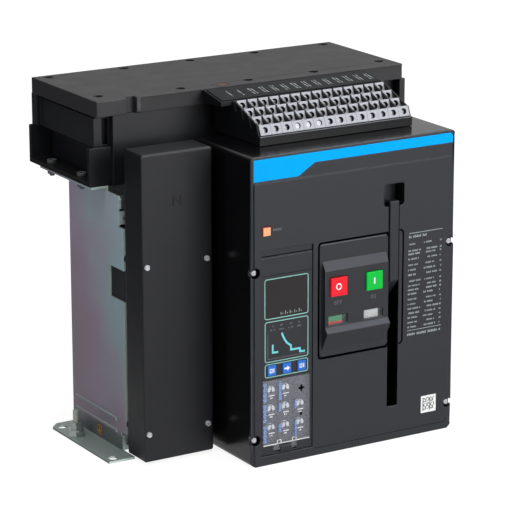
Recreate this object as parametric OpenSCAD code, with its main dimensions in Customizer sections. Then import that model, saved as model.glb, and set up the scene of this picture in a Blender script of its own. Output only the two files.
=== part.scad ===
// Air circuit breaker, four poles, fixed mounting on two feet.
// X runs across the poles, Y from the front to the back, Z up.
// The origin is the middle of the foot holes, under the feet.
// The front frame starts at the front cover's left front edge, level with the case's floor:
// u runs right, w runs back, v runs up.

/* [Poles and case] */
// Pitch of pole centres
pole_pitch = 70; // [68:1:80]
// Wall between neighbouring pole chambers
pole_wall = 10; // [8:0.5:14]
// Side wall of lower case outside last pole pitch
case_side = 6; // [5:0.5:12]
// Underside of case above feet's underside
case_floor_z = 3; // [2.5:0.5:6]
// Ledge where upper case starts
ledge_z = 242; // [238:1:255]
// Height of upper case above ledge
upper_h = 63.5; // [60:0.5:80]
// Front of lower case ahead of origin
case_front = 45; // [42:0.5:48]
// Rear of lower case behind origin
case_rear = 58; // [56:0.5:70]
// Front wall and top wall of front half of case
case_wall = 8; // [7:0.5:9]
// Rear wall of pole chambers
rear_wall = 12; // [8:0.5:12]
// Thickness of case under chambers
case_base = 17; // [10:1:25]
// Front of upper case ahead of origin
upper_front = 18; // [16:0.5:22]
// Rear of upper case behind origin
upper_rear = 103; // [100:0.5:115]
// Rear wall of upper case
upper_wall = 10; // [6:0.5:12]
// Overhang of upper case on each side
upper_overhang = 11; // [9:0.5:14]
// Upper case's front wall, in from case's side
main_in = 4; // [2:0.5:5]
// Front of upper case's side parts ahead of origin
corner_front = 10; // [10:0.5:15]
// Rib beside upright slot in each front corner
corner_rib = 1; // [1:0.25:3]
// Width of upright slot
corner_slot_w = 6; // [4:0.5:7]
// Depth of upright slot
corner_slot_d = 5; // [3:0.5:5.5]
// Height of shadow gap under cover's edge
neck_h = 3; // [2:0.5:5]
// How far shadow gap steps in
neck_step = 4; // [2:0.5:5]
// Depth of rear corner posts
corner_post = 10; // [6:0.5:14]
// Width of upright guard above right pocket
guard_w = 5.8; // [5:0.1:6.5]
// Front of guard ahead of origin
guard_front = 21.5; // [19:0.5:22.5]
// Thickness of web that carries guard
guard_web = 4; // [3:0.5:6]

/* [Side pockets] */
// Height of pocket
pocket_h = 35; // [28:0.5:40]
// How far pocket's rim stands out from upper case
pocket_rim = 7; // [6:0.5:10]
// Front of pocket ahead of origin
pocket_front = 15; // [13:0.5:17]
// Thickness of pocket's floor and end walls
pocket_wall = 4; // [3:0.5:6]
// Fixing screws of pocket, in from its rim
pocket_screw_in = 8; // [7:0.25:9]
// Front fixing screw of pocket behind origin
pocket_screw_front = 16; // [10:1:25]
// Pitch of two fixing screws of a pocket
pocket_screw_pitch = 58; // [50:1:60]

/* [Top cover] */
// Height of cover
cover_h = 14.5; // [12:0.5:20]
// Thickness of cover's top wall
cover_top = 4; // [4:0.25:5]
// Overhang of cover on each side
cover_lip = 3.5; // [2:0.5:6]
// Front edge of cover ahead of upper case
cover_ahead = 5; // [3:0.5:6]
// Notch in front edge, from cover's left side
notch_from = 30; // [24:0.5:36]
// Width of notch
notch_w = 10; // [6:0.5:14]
// Depth of notch
notch_d = 6; // [3:0.5:7]
// Distance from notch to step in front edge
step_gap = 4; // [3:0.5:8]
// Step of front edge beside terminal block
cover_step = 1.5; // [1:0.25:2.5]
// Height of thin edge that is left above step
step_top = 1.2; // [0.8:0.1:2]
// Outer screws, in from cover's side
cover_screw_side = 13; // [12:0.25:14]
// Rear row of screws, in from cover's rear edge
cover_screw_rear = 9; // [7:0.5:12]
// Inner front screws, in from cover's front
cover_screw_front = 12; // [11.5:0.25:13]
// Outer front screws, in from cover's front
cover_screw_corner = 21; // [20:0.5:24]

/* [Side plates and feet] */
// Thickness of sheet
plate_t = 2; // [1.5:0.1:2.4]
// Rear edge of plate in front of case's rear face
plate_rear_in = 1; // [0.5:0.25:6]
// Top of plate's front part below flange
plate_drop = 3; // [2:0.5:6]
// How far front edge steps back above upper tab
plate_step = 6.5; // [4:0.5:8]
// Cut at plate's upper front corner
plate_corner = 3; // [1:0.5:5]
// Depth of notches that hold bent tabs
tab_d = 9; // [8:0.25:9.5]
// How far bent tab's pocket reaches into case
tab_in = 7; // [6.8:0.1:8]
// Height of upper tab's notch
tab_h = 17; // [14:0.5:20]
// Upper tab's notch below plate's top edge
tab_down = 11; // [8:0.5:16]
// Height of lower tab's notch
foot_tab_h = 19; // [16:0.5:20]
// Clear space beside a bent tab in its notch
tab_gap = 2.5; // [2.4:0.1:3]
// Large notch below upper tab's notch
plate_notch_down = 38; // [30:1:50]
// Height of large notch
plate_notch_h = 29; // [20:0.5:36]
// Depth of large notch
plate_notch_d = 27; // [12:0.5:32]
// Pitch of front and rear foot holes
foot_pitch = 99; // [90:0.5:110]
// Front end of foot ahead of front hole
foot_ahead = 7.5; // [6:0.5:12]
// Rear end of foot behind rear hole
foot_behind = 11.5; // [8:0.5:16]
// Cut at foot's outer rear corner
foot_cut = 8; // [4:0.5:8]
// Foot holes from plate's outer face
foot_hole_out = 16; // [13:0.5:20]
// Outer edge of foot from middle of its holes
foot_edge = 8; // [7.5:0.5:12]
// Radius of foot hole
foot_hole_r = 4.5; // [3:0.25:5.5]
// Rear end of top flange behind origin
flange_rear = 84; // [80:0.5:90]
// Width of top flange
flange_w = 15; // [14:0.5:16]
// Radius of the two pressed beads
bead_r = 1.5; // [1:0.1:1.5]
// Upper bead above lower one
bead_pitch = 11.2; // [8:0.2:14]
// Height of lower bead
bead_z = 18.3; // [16:0.1:20]
// Front end of beads, in from plate's front edge
bead_front_in = 17; // [12:0.5:24]
// Rear end of beads, in from plate's rear edge
bead_rear_in = 7; // [4:0.5:12]
// Earth stud behind origin
earth_y = 21; // [10:1:28]
// Radius of earth stud
earth_r = 3; // [2.5:0.25:3.5]
// Length of earth stud above foot
earth_len = 24.5; // [20:0.5:30]
// Height of lower earth nut
earth_low_h = 5; // [4:0.25:6]
// Width of lower earth nut across its flats
earth_low_af = 13; // [11:0.25:14]
// Height of upper earth nut
earth_nut_h = 7; // [5:0.25:8]
// Width of upper earth nut across its flats
earth_nut_af = 10; // [9:0.25:12]
// Thickness of earth washer
washer_t = 1.6; // [1:0.1:2]
// Radius of earth washer
washer_r = 7; // [5.5:0.25:7.5]

/* [Front cover] */
// Height of front cover above case's floor
front_h = 278; // [268:1:284]
// Front cover's lower edge below case's floor
front_drop = 2.6; // [2:0.1:2.8]
// Front face ahead of origin
front_reach = 134; // [132:1:145]
// Gap between front cover and case
front_gap = 1.5; // [0.5:0.25:4]
// Wall of front cover and of neutral cover
front_wall = 3; // [2:0.25:3.5]
// Rounding of lower corners
front_low_r = 5; // [4:0.5:10.5]
// Rounding of upper corners
front_top_r = 4; // [2:0.5:8]
// Width of field right of handle slot
label_w = 60; // [54:0.5:66]
// Front cover's middle, right of its poles' middle
front_aside = 1; // [-1:0.25:2]
// Inner panel proud of cover's rim
panel_proud = 1.2; // [0.5:0.1:1.5]
// Top of inner panel below top of front cover
panel_down = 23.5; // [23:0.25:28]
// Left rim beside inner panel
panel_left = 3.25; // [2.25:0.25:4]
// Right rim beside inner panel
panel_right = 4; // [2:0.25:5]
// Cover screws, in from each side
front_screw_in = 4.3; // [4.3:0.1:4.8]
// Lower cover screws
front_screw_low = 22; // [20:0.5:30]
// Pitch of lower and upper cover screws
front_screw_pitch = 153; // [140:0.5:160]
// Radius of notch round a cover screw
front_notch_r = 4.8; // [4.2:0.1:4.8]
// Depth of notch round a cover screw
front_notch_d = 5; // [5:0.5:12]
// Width of handle slot
slot_w = 11.5; // [11:0.25:14]
// Lower end of handle slot
slot_low_v = 29.5; // [20:0.5:34]
// Lower end of finger pocket below handle's tip
grip_below = 4.5; // [3:0.25:6]
// Height of finger pocket
grip_h = 20.5; // [18:0.5:24]
// Depth of finger pocket
grip_d = 15; // [13:0.5:17]
// Finger pocket beside slot, each side
grip_side = 5; // [3:0.5:6]
// Thickness of blue trim strip
trim_t = 1; // [0.6:0.1:1.5]
// Trim strip proud of cover's rim
trim_proud = 0.2; // [0.1:0.05:0.4]
// Right of trim strip, in from right side
trim_right = 2.5; // [2.25:0.25:4]
// Top of trim strip below top of front cover
trim_down = 2.5; // [2.25:0.25:3]
// Height of trim strip's tall end
trim_h = 19.5; // [16:0.25:20]
// Width of trim strip's tall end
trim_tall_w = 45.2; // [40:0.2:60]
// Width of slope between tall and slim end
trim_slope_w = 17; // [10:0.2:24]
// Height of trim strip's slim end
trim_slim_h = 9; // [6:0.25:14]

/* [Neutral cover] */
// Front of neutral cover behind front cover's face
wing_back = 55; // [52:1:60]
// Gap between neutral cover and case
wing_rear_gap = 4; // [2:0.5:6]
// Gap between neutral cover and front cover
wing_gap = 7; // [6:0.2:8]
// How far neutral cover is higher than front cover
wing_above = 1; // [0.5:0.25:3]
// Cover screws, in from left side
wing_screw_left = 4.2; // [4.1:0.1:6]
// Cover screws, in from right side
wing_screw_right = 5.9; // [5:0.1:8]
// Wing's screws above front cover's
wing_screw_up = 4; // [2:0.5:6]

/* [Operating panel] */
// Gap between trip unit and panel
trip_gap = 7; // [5:0.25:8]
// Bottom of panel
op_v = 88; // [84:0.5:92]
// Rounding of panel's corners
op_r = 4; // [2:0.25:6]
// Thickness of panel's walls
op_wall = 2.5; // [2.2:0.1:2.8]
// How far button face stands proud of front cover
op_proud = 5; // [4:0.25:5.5]
// How far lower ledge stands out from button face
op_ledge = 3.5; // [2:0.25:5]
// Foot of ledge above panel's lower edge
ledge_foot = 4; // [3:0.25:6]
// Lip of ledge below button face
lip_drop = 5; // [4:0.25:6]
// Height of lip's front edge
lip_h = 1; // [0.5:0.25:2]
// Button face above panel's lower edge
face_up = 28; // [26:0.5:32]
// Side rims of button face
face_in = 2.75; // [2:0.25:4]
// Slope above button face, measured up
top_slope = 9; // [7:0.25:12]
// Top of panel above button face
op_above = 24; // [20:0.5:28]
// Side of a square button
button_w = 16.8; // [16:0.2:18]
// OFF button, in from face's left end
button_left = 13.75; // [13.25:0.25:18]
// Pitch of OFF and ON button
button_pitch = 37.5; // [34:0.5:44]
// ON button, in from face's right end
button_right = 15.75; // [14:0.25:18]
// Top of button face above buttons
button_top = 6.75; // [4.5:0.25:8]
// How far button stands proud of its face
button_proud = 2; // [1:0.25:3]
// Reach of a button's flange, each side
button_flange = 1.6; // [1:0.1:2]
// Thickness of button's flange
flange_t = 2; // [1.5:0.1:2.5]
// Width of a button's stem
stem_w = 8; // [6:0.25:9]
// Width of an indicator window
window_w = 20; // [16:0.5:21]
// Height of an indicator window
window_h = 8; // [6:0.25:9]
// Windows above lower edge of button face
window_up = 2.2; // [2:0.1:3]
// How far window pane lies behind button face
window_in = 0.8; // [0.5:0.1:1.2]
// Space for words between windows and buttons
word_h = 18.2; // [14:0.2:20]
// Thickness of flag
flag_t = 1.2; // [0.8:0.1:1.4]
// How far flag reaches past its window
flag_side = 0.5; // [0.4:0.1:0.8]
// Travel of a flag
flag_travel = 9; // [8:0.25:9.5]
// Side of reset button
reset_w = 7.5; // [7:0.1:10]
// Centre of reset button from trip unit's left side
reset_in = 5; // [4:0.1:8]
// Centre of reset button above trip unit
reset_above = 18; // [14:0.25:24]
// How far reset button stands proud of front face
reset_proud = 1.5; // [1:0.1:2]

/* [Charging mechanism] */
// Charging shaft in front of case
charge_in = 43; // [40:0.5:46]
// Charging shaft above front cover's lower edge
charge_v = 109; // [106:0.5:112]
// Radius of charging shaft
charge_r = 8; // [6:0.25:8.5]
// Thickness of charging shaft's end collar
collar_t = 2.5; // [2:0.25:4]
// Thickness of handle
handle_t = 9.5; // [8:0.25:10]
// Top end of handle
handle_top_v = 221; // [218:0.5:224]
// How far handle stands proud of front face
handle_proud = 1; // [0.5:0.1:2]
// Depth of handle's grip
handle_d = 8; // [6:0.25:9]
// Height of grip's front face
handle_grip_h = 73; // [66:0.5:78]
// Height of grip's rear face
handle_rear_h = 48; // [44:0.5:54]
// Slope under grip
handle_chin = 10; // [8:0.5:14]
// Radius of handle's hub
hub_r = 14; // [11:0.5:15]
// Radius of ratchet wheel
ratchet_r = 20; // [16:0.5:22]
// Thickness of ratchet wheel
ratchet_t = 4; // [3:0.25:4.5]
// Number of ratchet teeth
ratchet_teeth = 18; // [12:1:24]
// Height of ratchet teeth
tooth_h = 3; // [2:0.25:4]
// Thickness of closing cam
cam_t = 4.6; // [3:0.2:5]
// Wall of closing cam round its shaft
cam_wall = 4; // [3:0.25:5]
// Radius of closing cam's lobe
lobe_r = 10; // [8:0.25:11]
// Left mechanism plate from OFF button's centre
mech_left_in = 5.5; // [5:0.25:6]
// Right mechanism plate from ON button's centre
mech_right_in = 9; // [7:0.25:9.5]
// Thickness of mechanism plates
mech_t = 3; // [2:0.25:3]
// Front edge of mechanism plates
mech_front_w = 14; // [12:0.5:16]
// Bottom of mechanism plates below springs' seat
mech_below = 12; // [8:0.5:16]
// Top of mechanism plates below cover's top
mech_down = 40; // [34:0.5:46]
// Depth of mechanism plates at their upper edge
mech_top_d = 30; // [20:0.5:40]
// Front corner of those plates above upper half shaft
mech_corner = 17; // [10:0.5:24]
// Width of mechanism plates' feet on case
mech_foot_w = 14; // [10:0.5:16]
// How far feet end inside mechanism plates' height
mech_foot_in = 10; // [5:0.5:20]
// Half shafts behind front face
half_shaft_w = 22; // [21:0.25:24]
// Radius of half shafts
half_shaft_r = 4; // [3:0.25:4.5]
// Half shafts from button centre, up or down
half_shaft_off = 16.2; // [15.5:0.1:18]
// Thickness of half shaft's lever
lever_t = 3; // [2:0.25:4]
// How far lever reaches past its button's centre
lever_over = 5.5; // [4:0.25:7]
// Gap between a button's stem and its lever
stem_gap = 0.5; // [0.3:0.05:0.8]
// Closing springs in front of case
spring_in = 17; // [15:0.25:18]
// Mean radius of a closing spring
spring_r = 9; // [8:0.25:9.5]
// Wire of a closing spring
spring_wire = 3; // [2:0.25:3.5]
// Free turns of a closing spring
spring_turns = 8; // [6:1:10]
// Lower seat of closing springs
spring_low_v = 57; // [52:0.5:60]
// Fitted length of a closing spring
spring_len = 90; // [80:1:95]
// Gap between a closing spring and its seats
seat_gap = 0.1; // [0.05:0.05:0.3]
// Thickness of springs' lower shelf
shelf_t = 3; // [2:0.25:4]
// How far shelf reaches in front of springs
shelf_ahead = 5; // [2:0.5:8]
// Guide rod radius
guide_r = 4.5; // [3:0.25:5]
// How far guide rod reaches through shelf
guide_past = 5; // [3:0.5:10]
// Depth of spring yoke
yoke_d = 12; // [10:0.5:16]
// Height of spring yoke
yoke_h = 8; // [6:0.5:10]
// Gap beside motor and coils
drive_in = 8; // [6:0.25:9]
// Depth of coils and gearbox
drive_d = 40; // [36:0.5:44]
// Thickness of motor's and coils' frames
drive_t = 3; // [2:0.25:4]
// Bottom of motor's frame
motor_v = 22; // [18:0.5:26]
// Length of motor below gearbox
motor_len = 70; // [60:0.5:74]
// Radius of motor
motor_r = 17; // [13:0.25:18]
// Height of gearbox
gear_h = 25; // [20:0.5:28]
// Gap below each coil
coil_gap = 17; // [14:0.5:18]
// Height of a coil's frame
coil_h = 30; // [26:0.5:34]
// Radius of coil
coil_r = 11; // [8:0.25:12]

/* [Trip unit] */
// Left of trip unit
trip_u = 10.2; // [10:0.1:11.5]
// Width of trip unit
trip_w = 52.8; // [52:0.2:58]
// Bottom of trip unit
trip_v = 6.5; // [5:0.25:7.5]
// Height of trip unit
trip_h = 187; // [180:0.5:196]
// How far trip unit's face lies behind front face
trip_back = 0.8; // [0.5:0.1:1]
// Height of bare step at trip unit's top
trip_step_h = 6.5; // [4:0.25:9]
// Depth of bare step
trip_step_d = 0.5; // [0.3:0.1:1]
// Bottom of clear cover above trip unit's lower edge
clear_up = 8.8; // [8.4:0.1:10]
// Height of clear cover
clear_h = 60; // [56:0.25:64]
// Left of clear cover from trip unit's left side
clear_in = 1.7; // [1.2:0.1:2.4]
// Width of clear cover
clear_w = 48.4; // [47:0.2:49]
// Thickness of clear cover
clear_t = 1.8; // [1.4:0.1:2.2]
// Depth of setting field
field_d = 6.2; // [5.8:0.1:8]
// Hinge of clear cover below its lower edge
hinge_drop = 4.3; // [4:0.1:5]
// Radius of hinge pin
hinge_r = 1; // [0.5:0.05:1.1]
// Left hinge lug from clear cover's left edge
lug_in = 11; // [8:0.5:14]
// Width of a hinge lug
lug_w = 6; // [4:0.25:8]
// Pitch of hinge lugs
lug_pitch = 18; // [14:0.5:22]
// Clear space round hinge lugs
lug_gap = 0.3; // [0.2:0.05:0.6]
// First dial column from clear cover's left
dial_in = 10.1; // [8:0.1:12]
// Pitch of columns of dials
dial_pitch_u = 15; // [12:0.1:16]
// First row of dials below clear cover's upper edge
dial_down = 10; // [7:0.1:12]
// Pitch of rows of dials
dial_pitch_v = 17.4; // [14:0.1:18]
// Radius of dial
dial_r = 3.7; // [3:0.1:4.5]
// Height of a dial
dial_h = 3.6; // [2.5:0.1:3.8]
// Gap between a dial and floor of setting field
dial_gap = 0.3; // [0.2:0.05:0.5]
// Radius of dial's stem
dial_stem_r = 1.5; // [1:0.1:2]
// Length of a dial's stem behind field's floor
dial_stem = 5.5; // [4:0.25:7]
// Width and depth of a dial's pointer slot
dial_slot = 1.1; // [0.8:0.1:1.6]
// Left of display from trip unit's left side
display_in = 3.6; // [3:0.1:5]
// Width of display
display_w = 45.2; // [42:0.2:46.4]
// Top of display below trip unit's top
display_down = 25.5; // [20:0.25:30]
// Height of display
display_h = 36.7; // [32:0.1:38]
// Thickness of display window
display_t = 1.2; // [0.8:0.1:1.6]
// Rounding of display's corners
display_r = 2; // [1:0.25:3]
// Width of a key
key_w = 8.5; // [7:0.1:10]
// Height of a key
key_h = 9.2; // [7:0.1:10]
// First key from trip unit's left side
key_in = 10.7; // [9:0.05:12]
// Pitch of keys
key_pitch = 15.45; // [13:0.05:17]
// Centre of keys above clear cover
key_above = 9.1; // [8:0.1:11]
// How far key stands proud of trip unit's face
key_proud = 1.2; // [1:0.1:1.6]
// Depth of a key's pocket
key_d = 4; // [3:0.25:5]
// Travel of a key
key_travel = 0.8; // [0.4:0.1:1]

/* [Terminal block] */
// Left end of terminal columns
block_u = 30.4; // [28:0.2:34]
// Number of terminal columns
block_cols = 14; // [10:1:14]
// Pitch of columns
block_pitch = 11.2; // [10:0.1:11.8]
// Number of terminal rows
block_rows = 4; // [3:1:4]
// How far block lies above front cover
block_rise = 0.4; // [0.2:0.1:1]
// Front bar behind front face
block_front_w = 33; // [28:0.5:36]
// Height of front bar
front_bar_h = 8.4; // [6:0.2:9]
// First row of clamps behind front bar's face
bar_step = 1.8; // [1:0.1:3]
// Step back from row to row
row_back = 12.8; // [12.4:0.1:13.6]
// Step up from row to row
row_up = 4.9; // [4.4:0.1:5]
// Height of a clamp face
face_rise = 8.9; // [8:0.1:9]
// How far clamp face leans back
face_lean = 4.1; // [3:0.1:4.3]
// End walls beside columns
block_end = 1.6; // [1:0.1:3]
// Gap between block and top cover
block_gap = 0.5; // [0.3:0.1:1]
// Rear edge of block below top of cover
block_down = 1.2; // [0.8:0.1:2]
// Thickness of clamp plates
clamp_t = 1.2; // [0.8:0.1:1.8]
// Radius of clamp hole
clamp_hole_r = 2.7; // [2:0.1:3]
// Clear space round a clamp plate
clamp_gap = 0.1; // [0.05:0.05:0.2]
// Depth of a clamp's sleeve in block
sleeve_d = 3; // [2:0.25:4]
// Wall of a clamp's sleeve
sleeve_t = 0.5; // [0.4:0.05:0.6]
// Height of a clamp screw's head
clamp_screw_h = 0.7; // [0.5:0.1:1]
// Gap round a clamp screw's head
clamp_screw_gap = 0.3; // [0.2:0.05:0.5]
// How far a slackened clamp screw stands higher
slack_rise = 2.2; // [1:0.1:2.5]
// Thickness of ribs between columns
rib_t = 1.6; // [1:0.1:2]
// How far marker strip starts left of columns
marker_left = 13; // [6:0.5:14]
// Edge round marker strip
marker_edge = 2; // [1:0.25:3]
// Thickness of marker strip
marker_t = 0.8; // [0.5:0.1:1.2]
// Height of marker shelf's front edge
shelf_front_h = 4; // [3:0.25:6]
// Height of marker shelf's rear edge
shelf_rear_h = 12; // [8:0.5:14]
// Width of block's legs on case
leg_w = 12; // [8:0.5:16]
// Legs in from ends of columns
leg_in = 8; // [4:0.5:12]
// Legs in from case's front and block's rear
leg_gap = 2; // [1:0.25:4]

/* [Contacts and terminals] */
// Width of a terminal bar
bar_w = 42; // [38:0.5:44]
// Thickness of terminal bar
bar_t = 10; // [6:0.5:11]
// Underside of upper terminal
upper_bar_z = 186; // [182:0.5:190]
// Underside of lower terminal
lower_bar_z = 62; // [58:0.5:66]
// Rear end of terminals behind origin
bar_rear = 96; // [90:0.5:100]
// Bolt holes of terminals from bar's rear end
bar_hole_in = 14; // [12:0.5:16]
// Pitch of two bolt holes of a terminal
bar_hole_pitch = 22; // [18:0.5:24]
// Radius of terminal bolt hole
bar_hole_r = 5.5; // [4:0.25:6]
// Front end of lower terminal behind origin
bar_front = 14; // [12:0.5:16]
// Height of upper terminal's upturned end
upturn_h = 26; // [20:0.5:30]
// Thickness of upper terminal's upturned end
upturn_t = 8; // [6:0.5:10]
// Contact shaft ahead of origin
shaft_front = 8; // [7:0.5:9]
// Height of contact shaft
shaft_z = 112; // [110:0.5:116]
// Radius of contact shaft
shaft_r = 9; // [7:0.25:10]
// Case wall outside each end of contact shaft
shaft_wall = 7; // [4:0.5:9]
// Opening angle of contacts
open_angle = 22; // [18:1:23]
// Front of fixed contacts behind origin
fixed_y = 30; // [29:0.5:31]
// Thickness of fixed contacts
contact_t = 4; // [3:0.25:5]
// Fixed contacts in from sides of their bar
contact_in = 2; // [1:0.25:4]
// Height of a fixed contact above top of fingers
contact_over = 4; // [2:0.25:6]
// Fingers in one pole
finger_count = 5; // [3:1:5]
// Width of a finger
finger_w = 7; // [5:0.25:7.5]
// Pitch of fingers
finger_pitch = 9; // [8:0.25:9.5]
// Thickness of finger
finger_t = 10; // [8:0.5:12]
// Top of fingers above upper terminal's underside
finger_above = 10; // [8:0.5:12]
// Foot of fingers above contact shaft
finger_foot = 4; // [3:0.25:6]
// Height of a finger's tip
tip_h = 12; // [8:0.5:16]
// Gap between closed tips and fixed contacts
tip_gap = 0.4; // [0.2:0.05:0.8]
// Width of a contact carrier
carrier_w = 48; // [46:0.5:52]
// Rear of a contact carrier behind shaft
carrier_rear = 20; // [18:0.5:21]
// Front of a contact carrier in front of shaft
carrier_front = 6; // [4:0.5:8]
// Height of a contact carrier above shaft
carrier_h = 53; // [46:0.5:60]
// Wall of a contact carrier round shaft
carrier_wall = 7; // [5:0.5:8]
// Thickness of flexible link
link_t = 5; // [3:0.25:5.5]
// Foot of a flexible link
link_foot = 17; // [14:0.5:18]
// Gap between a flexible link and closed fingers
link_gap = 2.5; // [2:0.1:4]
// Splitter plates in one arc chute
splitter_count = 9; // [6:1:9]
// Pitch of splitter plates
splitter_pitch = 10; // [8:0.5:10.5]
// Thickness of splitter plate
splitter_t = 2; // [1:0.25:3]
// Half width of a splitter plate's notch
splitter_notch_w = 8; // [5:0.5:12]
// Height of a splitter plate's notch
splitter_notch_h = 22; // [14:0.5:28]
// Thickness of an arc chute wall
chute_t = 3; // [2:0.25:4]
// Gap round an arc chute
chute_gap = 0.5; // [0.3:0.1:1]
// Thickness of current transformer
ct_t = 12; // [8:0.5:13]
// Transformer above and below its bar
ct_ring = 14; // [10:0.5:16]
// Gap between a current transformer and its bar
ct_gap = 1; // [0.5:0.1:2]

/* [Fasteners and fits] */
// Radius of cover screws' shanks
screw_r = 2.4; // [1.5:0.1:2.6]
// Radius of cover screws' heads
screw_head_r = 4.4; // [3.5:0.1:4.6]
// Height of cover screws' heads
screw_head_h = 2.8; // [2:0.1:3.2]
// How far cover screw's head lies below face
screw_sink = 1; // [0.5:0.1:1.2]
// Depth of a cover screw in case
screw_in = 13; // [10:0.5:16]
// Radius of long screws of front and neutral covers
long_screw_r = 1.7; // [1.2:0.1:1.9]
// Radius of long screws' heads
long_head_r = 2.4; // [2.2:0.1:3.4]
// Height of long screws' heads
long_head_h = 2.4; // [2:0.1:3]
// Width and depth of slot in a long screw's head
head_slot = 1; // [0.6:0.1:1.4]
// Wall round a long screw in its cover
boss_wall = 2.4; // [1.8:0.1:2.4]
// How far long screw goes into case
screw_bite = 7; // [5:0.5:7.5]
// Height of a nut under a pocket
nut_h = 4; // [3:0.25:5]
// Width of a nut across its flats
nut_af = 8; // [7.5:0.25:9]
// Thread that stands out below a nut
nut_thread = 2; // [1:0.25:4]
// Radial gap of a running shaft
run_gap = 0.05; // [0.02:0.01:0.1]
// Radial gap of a screw in its hole
screw_gap = 0.1; // [0.05:0.05:0.3]
// Side gap of a sliding button or an inset piece
slide_gap = 0.35; // [0.2:0.05:0.4]

/* [Hidden] */

// A cut runs this far past the face that it opens
past = 1;
pole_count = 4;
chamber_w = pole_pitch - pole_wall;
case_half = pole_count * pole_pitch / 2 + case_side;
plate_half = case_half + plate_t;
upper_half = case_half + upper_overhang;
main_half = case_half - main_in;
cover_half = upper_half + cover_lip;
cover_front = upper_front + cover_ahead;
pocket_half = upper_half + pocket_rim;
cover_z = ledge_z + upper_h;
cover_top_z = cover_z + cover_h;
head_z = cover_top_z - screw_sink - screw_head_h;
pocket_top_z = ledge_z + pocket_h;
chamber_floor_z = case_floor_z + case_base;
chamber_rear = case_rear - rear_wall;
well_floor_z = ledge_z + case_wall;
well_front = upper_front - case_wall;
well_rear = upper_rear - upper_wall;
shaft_y = -shaft_front;
shaft_half = case_half - shaft_wall;
corner_slot_x = main_half + corner_rib;

plate_rear = case_rear - plate_rear_in;
plate_top_z = ledge_z - plate_t - plate_drop;
tab_high_z = plate_top_z - tab_down;
tab_low_z = tab_high_z - tab_h;
plate_notch_high_z = tab_low_z - plate_notch_down;
plate_notch_low_z = plate_notch_high_z - plate_notch_h;
tab_zs = [[0, foot_tab_h], [tab_low_z, tab_high_z]];
tab_seat = tab_d - case_front;
tab_y = tab_seat - plate_t;
tab_screw_x = case_half - tab_in / 2;
foot_x = plate_half + foot_hole_out;
foot_half = foot_x + foot_edge;
foot_front = foot_pitch / 2 + foot_ahead;
foot_rear = foot_pitch / 2 + foot_behind;

trip_right = trip_u + trip_w;
trip_top = trip_v + trip_h;
op_u = trip_right + trip_gap;
face_left = op_u + face_in;
off_u = face_left + button_left;
on_u = off_u + button_pitch;
face_right = on_u + button_right;
slot_u = face_right + face_in;
slot_right = slot_u + slot_w;
slot_mid = slot_u + slot_w / 2;
front_w = slot_right + label_w;
front_left = pole_pitch / 2 + front_aside - front_w / 2;
front_y = -front_reach;
front_z = case_floor_z;
mech_d = front_reach - case_front;
front_d = mech_d - front_gap;
boss_r = long_screw_r + boss_wall;
panel_top_v = front_h - panel_down;
trim_top_v = front_h - trim_down;
trim_rear = panel_proud - trim_proud + trim_t;
wing_left = -plate_half - front_left;
wing_right = -wing_gap;
wing_rear = mech_d - wing_rear_gap;
wing_h = front_h + wing_above;

grip_low_v = handle_top_v - grip_below;
grip_high_v = grip_low_v + grip_h;
face_low_v = op_v + face_up;
window_v = face_low_v + window_up;
button_v = window_v + window_h + word_h + button_w / 2;
face_high_v = button_v + button_w / 2 + button_top;
op_high = face_high_v + op_above;
inner_face_w = op_wall - op_proud;
reset_u = trip_u + reset_in;
reset_v = trip_top + reset_above;
mech_left_u = off_u - mech_left_in;
mech_right_u = on_u + mech_right_in;
off_shaft_v = button_v + half_shaft_off;
on_shaft_v = button_v - half_shaft_off;
lever_w = half_shaft_w - half_shaft_r;
stem_end = lever_w - stem_gap;
charge_w = mech_d - charge_in;
spring_w = mech_d - spring_in;
yoke_v = spring_low_v + spring_len;
spring_us = [mech_left_u + spring_r + spring_wire, mech_right_u - spring_r - spring_wire];
cam_u = (mech_left_u + mech_right_u) / 2;
mech_low_v = spring_low_v - mech_below;
mech_high_v = front_h - mech_down;

clear_u = trip_u + clear_in;
clear_v = trip_v + clear_up;
clear_top = clear_v + clear_h;
field_w = trip_back + field_d;
hinge_v = clear_v - hinge_drop;
hinge_w = clear_t / 2;
hinge_block = hinge_r + past;
lug_us = [clear_u + lug_in, clear_u + lug_in + lug_pitch];
lugs_end = lug_us[1] + lug_w;
display_low = [trip_u + display_in, trip_top - display_down - display_h];
display_high = display_low + [display_w, display_h];
key_v = clear_top + key_above;
key_us = [for (i = [0:2]) trip_u + key_in + i * key_pitch];
// Three rows of three, without the top row's last
dial_places = [for (row = [0:2]) for (col = [0:2]) if (row > 0 || col < 2)
  [clear_u + dial_in + col * dial_pitch_u, clear_top - dial_down - row * dial_pitch_v]];

block_right_u = block_u + block_cols * block_pitch;
block_v = front_h + block_rise;
row_w = block_front_w + bar_step;
row_v = block_v + front_bar_h;
rows_end_w = row_w + (block_rows - 1) * row_back + face_lean + marker_edge;
rows_end_v = row_v + (block_rows - 1) * row_up + face_rise;
block_rear_w = front_reach - cover_front - block_gap;
block_rear_v = cover_top_z - front_z - block_down;
clamp_h = norm([face_lean, face_rise]);
slack_cols = [3, 4, 5];

finger_top_z = upper_bar_z + finger_above;
finger_foot_z = shaft_z + finger_foot;
finger_y = shaft_y + carrier_rear;

// Middle of a pole
function pole_x(i) = (i - (pole_count - 1) / 2) * pole_pitch;
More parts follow.
